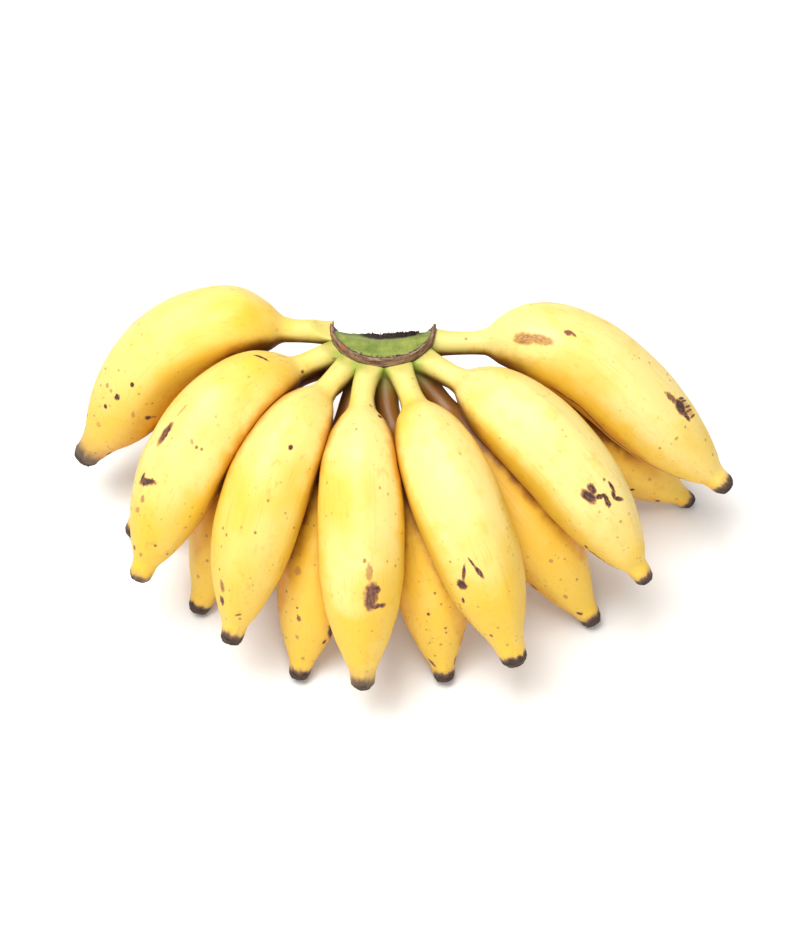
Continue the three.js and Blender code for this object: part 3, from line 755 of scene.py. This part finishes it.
    # freckles: small brown dots gathered in patches, more of them towards the tip
    grid = addNode(tree, "ShaderNodeMapping", {
        "Vector": skin, "Scale": (1 / look["poreSize"],) * 3}).outputs[0]
    cells = addNode(tree, "ShaderNodeTexVoronoi", {"Vector": grid, "W": seed, "Scale": 1.0},
                    voronoi_dimensions="4D").outputs
    chance = addNode(tree, "ShaderNodeSeparateColor", {0: cells["Color"]}).outputs
    width = addNode(tree, "ShaderNodeMapRange", {0: chance[1], 1: 0, 2: 1, 3: 0.12, 4: -0.06},
                    **smooth).outputs[0]
    fromDot = addNode(tree, "ShaderNodeMath", {0: cells["Distance"], 1: width}, operation="ADD").outputs[0]
    crowd = addNode(tree, "ShaderNodeMath", {0: place, 1: 0.22, 2: onSkin(14, 2.0, shift=19)[0]},
                    operation="MULTIPLY_ADD").outputs[0]
    patch = addNode(tree, "ShaderNodeMapRange", {0: crowd, 1: 0.47, 2: 0.68}, **smooth).outputs[0]
    strength = addNode(tree, "ShaderNodeMapRange", {
        0: chance[0], 1: 0.35, 2: 0.95, 3: 0, 4: shape["freckles"] * 1.3}, **smooth).outputs[0]
    some = addNode(tree, "ShaderNodeMath", {0: patch, 1: strength}, operation="MULTIPLY").outputs[0]
    inside = addNode(tree, "ShaderNodeMapRange", {0: fromDot, 1: 0.34, 2: 0.16}, **smooth).outputs[0]
    dot = addNode(tree, "ShaderNodeMath", {0: inside, 1: some}, operation="MULTIPLY").outputs[0]
    colour = addNode(tree, "ShaderNodeMix", {0: dot, 6: colour, 7: ink["pore"]}, **mixed).outputs[2]
    smudge = onSkin(3.2, 4.0, (0.7, 1, 1), 41)[0]
    colour = coat(tree, colour, ink["deep"], smudge, 0.6, 0.74, 0.4 * shape["freckles"])

    # the tip dries from tan to brown to nearly black, measured back from its end in millimetres
    length, cap, fade = float(shape["length"]), shape["cap"], shape["fade"]
    fromEnd = addNode(tree, "ShaderNodeMath", {0: place, 1: -length, 2: length},
                      operation="MULTIPLY_ADD").outputs[0]
    frayed = addNode(tree, "ShaderNodeMath", {0: onSkin(2.6, 3.0, (0.5, 1, 1), 13)[0], 1: 0.5},
                     operation="SUBTRACT").outputs[0]
    toEnd = addNode(tree, "ShaderNodeMath", {0: frayed, 1: 5, 2: fromEnd},
                    operation="MULTIPLY_ADD").outputs[0]
    colour = coat(tree, colour, ink["tan"], toEnd, cap + fade * 2, cap + fade * 0.3, 0.7)
    colour = coat(tree, colour, ink[shape["dried"]], toEnd, cap + fade, cap + fade * 0.15)
    dryness = addNode(tree, "ShaderNodeMapRange", {0: toEnd, 1: cap + 0.3, 2: cap - 0.8},
                      **smooth).outputs[0]
    lines = addNode(tree, "ShaderNodeMapRange", {
        0: onSkin(0.9, 2.0, (1, 0.15, 0.15), 17)[0], 1: 0.45, 2: 0.65}, **smooth).outputs[0]
    lined = addNode(tree, "ShaderNodeMapRange", {0: lines, 1: 0, 2: 1, 3: 0.55, 4: 1}, **smooth).outputs[0]
    black = addNode(tree, "ShaderNodeMath", {0: dryness, 1: lined}, operation="MULTIPLY").outputs[0]
    colour = addNode(tree, "ShaderNodeMix", {0: black, 6: colour, 7: ink["dark"]}, **mixed).outputs[2]

    # bruises and specks, each where the photo has it. Their outlines wander a little
    wander = []
    for size, reach in ((0.9, 0.8), (1.8, 2.6)):  # in millimetres, for a small mark and for a wide one
        shake = addNode(tree, "ShaderNodeVectorMath", {
            0: onSkin(size, 3.0, shift=23, rough=0.6)["Color"], 1: (0.5, 0.5, 0.5),
        }, operation="SUBTRACT").outputs[0]
        moved = addNode(tree, "ShaderNodeVectorMath", {0: shake, 1: (reach,) * 3, 2: skin},
                        operation="MULTIPLY_ADD").outputs[0]
        wander.append(moved)
    hurt = 0.0
    for mark in marks.get(name, []):
        i = np.abs(spine["place"] - mark["place"]).argmin()
        angle = math.radians(mark["round"])
        centre = Vector((mark["place"] * shape["length"], spine["girth"][i] * math.cos(angle),
                         spine["girth"][i] * math.sin(angle)))
        facing = Matrix.Rotation(angle - math.pi / 2, 3, "X")
        turn = facing @ Matrix.Rotation(math.radians(mark.get("turn", 0)), 3, "Z")
        local = addNode(tree, "ShaderNodeMapping", {
            "Vector": wander[mark["wide"] > 2], "Location": centre, "Rotation": turn.to_euler("XYZ"),
            "Scale": (mark["long"] / 2, mark["wide"] / 2, 7.0)}, vector_type="TEXTURE").outputs[0]
        away = addNode(tree, "ShaderNodeVectorMath", {0: local}, operation="LENGTH").outputs["Value"]
        spot = addNode(tree, "ShaderNodeMapRange", {0: away, 1: 1.3, 2: 0.5, 3: 0, 4: mark.get("tone", 1.0)},
                       **smooth).outputs[0]
        hurt = addNode(tree, "ShaderNodeMath", {0: hurt, 1: spot}, operation="MAXIMUM").outputs[0]
    if marks.get(name):
        grain = addNode(tree, "ShaderNodeMapRange", {
            0: onSkin(0.8, 3.0, (0.5, 1, 1), 29)[0], 1: 0.35, 2: 0.6, 3: 0.82, 4: 1.08}, **smooth).outputs[0]
        sore = addNode(tree, "ShaderNodeMath", {0: hurt, 1: grain}, operation="MULTIPLY").outputs[0]
        colour = coat(tree, colour, ink["halo"], sore, 0.12, 0.42, 0.85)
        colour = coat(tree, colour, ink["bruise"], sore, 0.42, 0.66)
        colour = coat(tree, colour, ink["scab"], sore, 0.68, 0.95)
    tree.links.new(colour, peel.inputs["Base Color"])

    # dry and bruised skin is duller
    rough = addNode(tree, "ShaderNodeMath", {0: fine, 1: 0.16, 2: look["roughness"] - 0.08},
                    operation="MULTIPLY_ADD").outputs[0]
    rough = addNode(tree, "ShaderNodeMath", {0: dryness, 1: 0.25, 2: rough},
                    operation="MULTIPLY_ADD").outputs[0]
    rough = addNode(tree, "ShaderNodeMath", {0: hurt, 1: 0.15, 2: rough},
                    operation="MULTIPLY_ADD").outputs[0]
    tree.links.new(rough, peel.inputs["Roughness"])

    # faint dimples, fibres, and cracks in the dry tip
    relief = addNode(tree, "ShaderNodeMath", {0: onSkin(1.5, 3.0, shift=31)[0], 1: 0.3},
                     operation="MULTIPLY").outputs[0]
    relief = addNode(tree, "ShaderNodeMath", {0: fibre, 1: 0.22, 2: relief},
                     operation="MULTIPLY_ADD").outputs[0]
    cracks = addNode(tree, "ShaderNodeMath", {0: onSkin(1.0, 5.0, (0.4, 1, 1), 37)[0], 1: dryness},
                     operation="MULTIPLY").outputs[0]
    relief = addNode(tree, "ShaderNodeMath", {0: cracks, 1: 2.5, 2: relief},
                     operation="MULTIPLY_ADD").outputs[0]
    relief = addNode(tree, "ShaderNodeMath", {0: hurt, 1: -0.35, 2: relief},
                     operation="MULTIPLY_ADD").outputs[0]
    bump = addNode(tree, "ShaderNodeBump", {"Height": relief, "Strength": 0.4, "Distance": 0.4 * mm})
    tree.links.new(bump.outputs[0], peel.inputs["Normal"])
    peel.inputs["IOR"].default_value = 1.45
    peel.inputs["Specular IOR Level"].default_value = 0.65  # the wax gives a broad pale sheen
    peel.inputs["Subsurface Weight"].default_value = 0.1
    peel.inputs["Subsurface Radius"].default_value = (1.0, 0.7, 0.12)
    peel.inputs["Subsurface Scale"].default_value = 2.0 * mm
    return material


def crownSection(angle):
    c = crownShape

    def wall(depth):
        radius = c["rimRadius"] - float(wallInset(depth))
        return np.array([radius * math.cos(angle), radius * math.sin(angle), -depth])

    def cut(depth):
        x = wall(depth)[0] * 0.86
        y = c["cutRadius"] - c["cutDepth"] - math.sqrt(c["cutRadius"] ** 2 - x * x) + depth * c["cutSlope"]
        return np.array([x, y, -depth])

    def between(start, end, share, height):
        spot = start + (end - start) * share
        spot[2] = height
        return spot

    width = np.linalg.norm(wall(0) - cut(0))
    low, front = c["thickness"], -math.sin(angle)
    bark = min(c["barkWidth"] - 0.9 * float(easeStep(front, 0.5, 1)), width * 0.45)
    rim, shelf = min(1.2, width * 0.2) / width, bark / width
    rise = 0.2 + 0.8 * float(easeStep(front, 0.05, 0.5))  # the rim sinks towards the horns
    fall = c["edgeFall"] * (1 - float(easeStep(front, 0.3, 0.95)))  # and the cut edge sinks further
    top = [(rim * 0.35, 0.5), (rim, 1), ((rim + shelf) / 2, 0.7), (shelf, -0.4), (0.5, -1.9), (0.75, -2.2),
           (0.95, -1.7)]
    top = [(share, height * rise - fall * float(easeStep(share, shelf, 0.95))) for share, height in top]
    return np.array(
        [between(wall(low), cut(low), 0.1, -low), wall(18.5), wall(14), wall(9), wall(4), wall(1.2)]
        + [between(wall(0), cut(0), share, height) for share, height in top]
        + [cut(2 + fall), cut(7), cut(14), between(cut(20), wall(20), 0.1, -20)])


# what each point of the section is: bark on the rim, green on top, dry where it was cut
sectionZones = {
    "rim": [0, 0, 0, 0, 0, 1, 1, 1, 1, 0.5, 0, 0, 0, 0, 0, 0, 0],
    "dish": [0, 0, 0, 0, 0, 0, 0, 0, 0, 0.6, 1, 1, 0.6, 0, 0, 0, 0],
    "dry": [0, 0, 0, 0, 0, 0, 0, 0, 0, 0, 0, 0.1, 0.8, 1, 1, 1, 0.6],
}
hornZones = {"rim": 1.0, "dish": 0.0, "dry": 0.0}  # the crown's two horns are bark all over


def crownMesh():
    c = crownShape
    angles = np.radians(c["hornReach"] - (180 + 2 * c["hornReach"]) * np.linspace(0, 1, c["stations"] + 1))
    loops = np.array([crownSection(a) for a in angles])
    count = loops.shape[1]
    t = np.linspace(0, count, count * c["sectionSteps"], endpoint=False)
    i, f = t.astype(int), (t % 1)[None, :, None]
    before, here = loops[:, (i - 1) % count], loops[:, i]
    after, further = loops[:, (i + 1) % count], loops[:, (i + 2) % count]
    fine = 0.5 * (2 * here + (after - before) * f + (2 * before - 5 * here + 4 * after - further) * f ** 2
                  + (3 * here - before - 3 * after + further) * f ** 3)
    rows, steps = fine.shape[:2]
    points = np.vstack([fine.reshape(-1, 3), fine[0].mean(0), fine[-1].mean(0)])
    faces = []
    for row in range(rows - 1):
        for step in range(steps):
            a, b = row * steps + step, row * steps + (step + 1) % steps
            faces.append((a, b, b + steps, a + steps))
    first, last, end = rows * steps, rows * steps + 1, (rows - 1) * steps
    for step in range(steps):
        faces.append((first, (step + 1) % steps, step))
        faces.append((last, end + step, end + (step + 1) % steps))
    mesh = bpy.data.meshes.new("crownBase")
    mesh.from_pydata(points.tolist(), [], faces)
    horn = 1 - easeStep(-np.sin(angles), 0.02, 0.3)  # each horn is bark all over
    onTop = (i > 3) & (i < 13)
    for label, values in sectionZones.items():
        values = np.array(values, float)
        ramp = values[i] * (1 - f[0, :, 0]) + values[(i + 1) % count] * f[0, :, 0]
        whole = np.outer(1 - horn, ramp) + np.outer(horn, hornZones[label] * (onTop > 0))
        tiled = np.concatenate([whole.ravel(), [0.5, 0.5]]).astype(np.float32)
        mesh.attributes.new(label, "FLOAT", "POINT").data.foreach_set("value", tiled)
    return mesh


def crownTree():
    tree = newShapeTree("crownGrain", {
        "Lump Height": "Float", "Lump Size": "Float", "Torn Height": "Float", "Torn From": "Float",
        "Torn To": "Float", "Shreds": "Float", "Shred Length": "Float", "Seed": "Float", "Bark": "Material",
    })
    given = addNode(tree, "NodeGroupInput").outputs
    here = addNode(tree, "GeometryNodeInputPosition").outputs[0]
    normal = addNode(tree, "GeometryNodeInputNormal").outputs[0]
    zone = {label: addNode(tree, "GeometryNodeInputNamedAttribute", {"Name": label},
                           data_type="FLOAT").outputs[0]
            for label in sectionZones}
    spread = addNode(tree, "ShaderNodeVectorMath", {0: here, 1: given["Lump Size"]},
                     operation="DIVIDE").outputs[0]
    grain = addNode(tree, "ShaderNodeTexNoise", {"Vector": spread, "W": given["Seed"], "Scale": 1.0,
                                                 "Detail": 3.0}, noise_dimensions="4D").outputs[0]
    rough = addNode(tree, "ShaderNodeMath", {0: zone["rim"], 1: zone["dry"]}, operation="ADD").outputs[0]
    calm = addNode(tree, "ShaderNodeMath", {0: rough, 1: 0.3}, operation="ADD").outputs[0]
    level = addNode(tree, "ShaderNodeMath", {0: grain, 1: 0.56}, operation="SUBTRACT").outputs[0]
    lift = addNode(tree, "ShaderNodeMath", {0: level, 1: calm}, operation="MULTIPLY").outputs[0]
    height = addNode(tree, "ShaderNodeMath", {0: lift, 1: given["Lump Height"]},
                     operation="MULTIPLY").outputs[0]
    tall = addNode(tree, "ShaderNodeMath", {0: height, 1: 4.0}, operation="MULTIPLY").outputs[0]
    shove = addNode(tree, "ShaderNodeVectorMath", {0: normal, "Scale": tall}, operation="SCALE").outputs[0]

    # a flap of torn fibre stands up along the middle of the cut edge
    parts = addNode(tree, "ShaderNodeSeparateXYZ", {0: here}).outputs
    risen = addNode(tree, "ShaderNodeMath", {0: given["Torn From"], 1: 12.0}, operation="ADD").outputs[0]
    rising = addNode(tree, "ShaderNodeMapRange", {0: parts["X"], 1: given["Torn From"], 2: risen},
                     **smooth).outputs[0]
    whole = addNode(tree, "ShaderNodeMath", {0: given["Torn To"], 1: 3.0}, operation="SUBTRACT").outputs[0]
    falling = addNode(tree, "ShaderNodeMapRange", {0: parts["X"], 1: given["Torn To"], 2: whole},
                      **smooth).outputs[0]
    strip = addNode(tree, "ShaderNodeMath", {0: rising, 1: falling}, operation="MULTIPLY").outputs[0]
    edge = addNode(tree, "ShaderNodeMapRange", {0: parts["Z"], 1: -2.9, 2: -1.9}, **smooth).outputs[0]
    atCut = addNode(tree, "ShaderNodeMapRange", {0: zone["dry"], 1: 0.3, 2: 1.0}, **smooth).outputs[0]
    flap = addNode(tree, "ShaderNodeMath", {0: edge, 1: atCut}, operation="MULTIPLY").outputs[0]
    shreds = addNode(tree, "ShaderNodeTexNoise", {"W": parts["X"], "Scale": 0.28, "Detail": 4.0},
                     noise_dimensions="1D").outputs[0]
    torn = addNode(tree, "ShaderNodeMath", {0: shreds, 1: given["Torn Height"]},
                   operation="MULTIPLY").outputs[0]
    some = addNode(tree, "ShaderNodeMath", {0: strip, 1: flap}, operation="MULTIPLY").outputs[0]
    stand = addNode(tree, "ShaderNodeMath", {0: some, 1: torn}, operation="MULTIPLY").outputs[0]
    upward = addNode(tree, "ShaderNodeCombineXYZ", {"Z": stand}).outputs[0]
    offset = addNode(tree, "ShaderNodeVectorMath", {0: shove, 1: upward}, operation="ADD").outputs[0]

    marked = addNode(tree, "GeometryNodeStoreNamedAttribute",
                     {"Geometry": given["Geometry"], "Name": "torn", "Value": some},
                     data_type="FLOAT", domain="POINT").outputs[0]
    placed = addNode(tree, "GeometryNodeSetPosition", {"Geometry": marked, "Offset": offset}).outputs[0]

    # stiff broken fibres stand along its crest
    crest = addNode(tree, "ShaderNodeMath", {0: some, 1: 0.55}, operation="GREATER_THAN").outputs[0]
    chance = addNode(tree, "FunctionNodeRandomValue", {"Probability": given["Shreds"], "Seed": 5},
                     data_type="BOOLEAN").outputs[3]
    chosen = addNode(tree, "FunctionNodeBooleanMath", {0: crest, 1: chance}, operation="AND").outputs[0]
    seats = addNode(tree, "GeometryNodeMeshToPoints", {"Mesh": placed, "Selection": chosen}).outputs[0]
    shred = addNode(tree, "GeometryNodeMeshCone", {
        "Vertices": 4, "Radius Top": 0.03, "Radius Bottom": 0.17, "Depth": given["Shred Length"]},
        fill_type="NGON").outputs["Mesh"]
    inked = addNode(tree, "GeometryNodeStoreNamedAttribute",
                    {"Geometry": shred, "Name": "torn", "Value": 1.0},
                    data_type="FLOAT", domain="POINT").outputs[0]
    tilt = addNode(tree, "FunctionNodeRandomValue", {0: (-0.9, -0.5, 0.0), 1: (0.5, 0.9, 3.1), "Seed": 7},
                   data_type="FLOAT_VECTOR").outputs[0]
    growth = addNode(tree, "FunctionNodeRandomValue", {2: 0.35, 3: 1.2, "Seed": 9},
                     data_type="FLOAT").outputs[1]
    fibres = addNode(tree, "GeometryNodeInstanceOnPoints", {
        "Points": seats, "Instance": inked, "Rotation": tilt, "Scale": growth}).outputs[0]
    both = addNode(tree, "GeometryNodeJoinGeometry")
    tree.links.new(fibres, both.inputs[0])
    tree.links.new(placed, both.inputs[0])
    real = addNode(tree, "GeometryNodeRealizeInstances", {"Geometry": both.outputs[0]}).outputs[0]
    coated = addNode(tree, "GeometryNodeSetMaterial",
                     {"Geometry": real, "Material": given["Bark"]}).outputs[0]
    addNode(tree, "NodeGroupOutput", {"Geometry": coated})
    return tree


# banana stem, cut with a knife: moist green tissue that browns, and corky bark where the rim dried
crownLook = {
    "green": "#71833A", "pale": "#98A24D", "dull": "#5A6530", "collar": "#93AC40", "line": "#C9C68A",
    "bark": "#6E503F", "barkLight": "#9A7B63", "barkDark": "#34211B", "red": "#A6573F", "torn": "#24130E",
    "streakSize": 0.9, "streakRun": 5, "barkStripe": 0.8, "barkRun": 7,  # in millimetres
}


def crownMaterial():
    look = crownLook
    ink = {label: fromHex(code) for label, code in look.items() if isinstance(code, str)}
    material = bpy.data.materials.new("cutBananaStem")
    material.use_nodes = True
    tree = material.node_tree
    stem = tree.nodes["Principled BSDF"]
    here = addNode(tree, "ShaderNodeTexCoord").outputs["Object"]
    zone = {label: addNode(tree, "ShaderNodeAttribute", attribute_name=label).outputs["Fac"]
            for label in ("rim", "dish", "dry", "torn")}
    fine, slow, pits, blots = [
        addNode(tree, "ShaderNodeTexNoise", {
            "Vector": here, "Scale": 1 / (size * mm), "Detail": detail, "Roughness": rough}).outputs[0]
        for size, detail, rough in ((1.3, 4.0, 0.6), (7, 2.0, 0.5), (0.7, 3.0, 0.5), (4.5, 1.0, 0.5))]

    # fibres of the stem run back from the rim to the cut edge, and end as dots in its face
    lengthwise = addNode(tree, "ShaderNodeMapping", {
        "Vector": here, "Scale": (1 / (look["streakSize"] * mm), 1 / (look["streakRun"] * mm),
                                  1 / (look["streakRun"] * mm))}).outputs[0]
    streak = addNode(tree, "ShaderNodeTexNoise", {
        "Vector": lengthwise, "Scale": 1.0, "Detail": 3.0}).outputs[0]
    green = coat(tree, ink["green"], ink["pale"], slow, 0.35, 0.7)
    green = coat(tree, green, ink["dull"], streak, 0.45, 0.75, 0.3)
    green = coat(tree, green, ink["dull"], fine, 0.55, 0.75, 0.4)

    # the bark is laid in thin layers, which show as stripes along the rim
    centre = (hand["centreAcross"] * mm, hand["centreBack"] * mm, 0)
    fromCentre = addNode(tree, "ShaderNodeVectorMath", {0: here, 1: centre}, operation="SUBTRACT").outputs[0]
    apart = addNode(tree, "ShaderNodeSeparateXYZ", {0: fromCentre}).outputs
    flat = addNode(tree, "ShaderNodeCombineXYZ", {"X": apart["X"], "Y": apart["Y"]}).outputs[0]
    radius = addNode(tree, "ShaderNodeVectorMath", {0: flat}, operation="LENGTH").outputs["Value"]
    layered = addNode(tree, "ShaderNodeCombineXYZ", {
        "X": radius, "Y": apart["Z"], "Z": apart["X"]}).outputs[0]
    layers = addNode(tree, "ShaderNodeMapping", {
        "Vector": layered, "Scale": (1 / (look["barkStripe"] * mm), 1 / (look["barkStripe"] * mm),
                                     1 / (look["barkRun"] * mm))}).outputs[0]
    layer = addNode(tree, "ShaderNodeTexNoise", {"Vector": layers, "Scale": 1.0, "Detail": 3.0}).outputs[0]
    bark = coat(tree, ink["bark"], ink["barkLight"], layer, 0.42, 0.6)
    bark = coat(tree, bark, ink["barkDark"], layer, 0.44, 0.3, 0.85)
    bark = coat(tree, bark, ink["barkDark"], pits, 0.56, 0.7, 0.5)
    bark = coat(tree, bark, ink["red"], blots, 0.62, 0.7, 0.8)

    # green in the dish, a pale line inside the rim, dull where it was cut, bark over the rim
    colour = coat(tree, ink["collar"], green, zone["dish"], 0.1, 0.6)
    inwards = addNode(tree, "ShaderNodeMapRange", {0: zone["dish"], 1: 0.35, 2: 0.55}, **smooth).outputs[0]
    outwards = addNode(tree, "ShaderNodeMapRange", {0: zone["dish"], 1: 0.85, 2: 0.65, 3: 0, 4: 0.6},
                       **smooth).outputs[0]
    inner = addNode(tree, "ShaderNodeMath", {0: inwards, 1: outwards}, operation="MULTIPLY").outputs[0]
    colour = addNode(tree, "ShaderNodeMix", {0: inner, 6: colour, 7: ink["line"]}, **mixed).outputs[2]
    colour = coat(tree, colour, ink["dull"], zone["dry"], 0.1, 0.9, 0.9)
    ragged = addNode(tree, "ShaderNodeMath", {0: fine, 1: 0.5, 2: zone["rim"]},
                     operation="MULTIPLY_ADD").outputs[0]
    colour = coat(tree, colour, ink["barkDark"], ragged, 0.5, 0.62)
    colour = coat(tree, colour, bark, ragged, 0.72, 0.9)
    colour = coat(tree, colour, ink["torn"], zone["torn"], 0.18, 0.5)
    tree.links.new(colour, stem.inputs["Base Color"])
    bump = addNode(tree, "ShaderNodeBump", {"Height": fine, "Strength": 0.6, "Distance": 0.5 * mm})
    tree.links.new(bump.outputs[0], stem.inputs["Normal"])
    stem.inputs["Roughness"].default_value = 0.68
    stem.inputs["IOR"].default_value = 1.42
    return material


def makeCrown():
    c = crownShape
    mesh = runTree("crownStem", crownMesh(), crownTree(), {
        "Lump Height": c["barkLump"], "Lump Size": c["barkSize"], "Torn Height": c["tornHeight"],
        "Torn From": float(c["tornFrom"]), "Torn To": float(c["tornTo"]), "Shreds": c["shreds"],
        "Shred Length": c["shredLength"], "Seed": 2.0, "Bark": crownMaterial()})
    points = np.array([v.co for v in mesh.vertices], float)
    setPlaces(mesh, layDown(points))
    crown = bpy.data.objects.new("crownStem", mesh)
    bpy.context.scene.collection.objects.link(crown)
    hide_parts("crown")
    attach(crown, "root")


def heldIn(points):
    # lumps never stand out of the CAD model's box
    for axis in (1, 2):
        over = np.maximum(points[:, axis] - cadBox[1][axis] / mm + 1.5, 0)
        points[:, axis] -= over * over / (over + 1.5)
    return points


def makeBananas():
    shapes = {name: {**usual, **(usualLower if name.startswith("lower") else {}), **shape}
              for name, shape in bananas.items()}
    spines = {name: spineOf(shape) for name, shape in shapes.items()}
    tree = bananaTree()
    b = bananaShape
    for number, (name, shape) in enumerate(shapes.items()):
        spine = spines[name]
        seed = 3.0 + 1.7 * number
        piece = name.replace("_b", "B").replace("_", "") + "Fruit"
        mesh = runTree(piece, spineMesh(name, spine), tree, {
            "Rings": b["rings"], "Sides": b["sides"], "Length": float(shape["length"]),
            "Ridge Count": float(b["ridgeCount"]), "Ridge Height": b["ridgeHeight"],
            "Ridge Turn": math.radians(shape["ridgeTurn"]), "Lump Height": b["lumpHeight"],
            "Lump Size": float(b["lumpSize"]), "Tip Wrinkle": b["tipWrinkle"], "Tip Hollow": b["tipHollow"],
            "Seed": seed, "Peel": peelMaterial(name, shape, spine, seed)})
        points = np.array([v.co for v in mesh.vertices], float)
        place = readNumbers(mesh, "place")
        points = pressedTogether(name, spines, points, readVectors(mesh, "middle"))
        # closeness, how near a neighbour is, paints crease shade on the peel and greens the stalk's foot;
        # shade, how little open sky the skin sees, paints shade into the peel
        closeness = np.exp(-np.maximum(nearestOther(name, spines, points), 0) / b["closeReach"])
        shade = shadeOn(name, spines, points, readVectors(mesh, "middle"))
        for label, values in (("closeness", closeness), ("shade", shade)):
            kept = mesh.attributes.new(label, "FLOAT", "POINT")
            kept.data.foreach_set("value", values.astype(np.float32))
        points = heldIn(layDown(rootedIn(spine, shape, points, place)))
        if name.startswith("lower"):  # the lower row stands on its tips
            points[:, 2] -= points[:, 2].min() * easeStep(place, 0.88, 0.98)
        points[:, 2] = np.where(points[:, 2] < hand["settle"], 0, points[:, 2])
        setPlaces(mesh, points)
        fruit = bpy.data.objects.new(piece, mesh)
        bpy.context.scene.collection.objects.link(fruit)
        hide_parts(name)
        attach(fruit, "root")
        print("grown", piece, len(mesh.vertices), "points")


# the camera stands where the photo was taken from: pixels are the photo's, 800 wide and 936 high
view = {
    "elevation": 54, "distance": 900 * mm, "pixelsPerMm": 2.54, "crownPixel": (383, 326),
    "photoSize": (800, 936),
}


def makeCamera():
    width, height = view["photoSize"]
    focal = view["pixelsPerMm"] * view["distance"] / mm  # in pixels
    camera = bpy.data.cameras.new("camera")
    camera.sensor_width = 36
    camera.lens = focal * camera.sensor_width / max(width, height)
    camera.clip_start, camera.clip_end = 0.01, 20
    holder = bpy.data.objects.new("camera", camera)
    bpy.context.scene.collection.objects.link(holder)
    crown = Vector((hand["centreAcross"], hand["centreBack"], hand["crownHeight"])) * mm
    tilt = math.radians(view["elevation"])
    back = Vector((0, -math.cos(tilt), math.sin(tilt)))
    sight = Matrix(((1, 0, 0), (0, math.sin(tilt), math.cos(tilt)), tuple(back))).transposed()
    right = (width / 2 - view["crownPixel"][0]) / focal
    down = (height / 2 - view["crownPixel"][1]) / focal
    aim = Matrix.Rotation(-math.atan(right), 3, "Y") @ Matrix.Rotation(-math.atan(down), 3, "X")
    holder.matrix_world = Matrix.Translation(crown + back * view["distance"]) @ (sight @ aim).to_4x4()
    bpy.context.scene.camera = holder


# a white studio: a broad soft lamp above the fruit, a weak one in front and white air all round
lamps = {
    "key": {"at": (-0.4, 0.05, 1.5), "size": 1.0, "watts": 30, "colour": "#FFFEFA"},
    "front": {"at": (0.2, -1.3, 0.9), "size": 0.8, "watts": 6, "colour": "#FFFFFF"},
}


def makeStudio():
    for name, lamp in lamps.items():
        light = bpy.data.lights.new(name, "AREA")
        light.size, light.energy, light.color = lamp["size"], lamp["watts"], fromHex(lamp["colour"])[:3]
        holder = bpy.data.objects.new(name, light)
        holder.location = lamp["at"]
        toward = Vector((0, 0, 0.04)) - holder.location
        holder.rotation_euler = toward.to_track_quat("-Z", "Y").to_euler()
        bpy.context.scene.collection.objects.link(holder)
    world = bpy.data.worlds.new("studioAir")
    world.use_nodes = True
    world.node_tree.nodes["Background"].inputs["Color"].default_value = fromHex("#FFFFFF")
    world.node_tree.nodes["Background"].inputs["Strength"].default_value = 0.38
    bpy.context.scene.world = world
    bpy.context.scene.view_settings.view_transform = "Standard"  # keeps the yellow as strong as the photo's
    floorMesh = bpy.data.meshes.new("paleFloor")
    reach = 4.0
    floorMesh.from_pydata([(-reach, -reach, 0), (reach, -reach, 0), (reach, reach, 0), (-reach, reach, 0)],
                          [], [(0, 1, 2, 3)])
    floor = bpy.data.objects.new("paleFloor", floorMesh)
    bpy.context.scene.collection.objects.link(floor)
    paper = bpy.data.materials.new("whiteBackdropPaper")
    paper.use_nodes = True
    paper.node_tree.nodes["Principled BSDF"].inputs["Base Color"].default_value = fromHex("#F8F8F8")
    paper.node_tree.nodes["Principled BSDF"].inputs["Roughness"].default_value = 0.9
    floorMesh.materials.append(paper)


makeCrown()
print("crown made")
makeBananas()
makeCamera()
makeStudio()
print("camera and studio set")
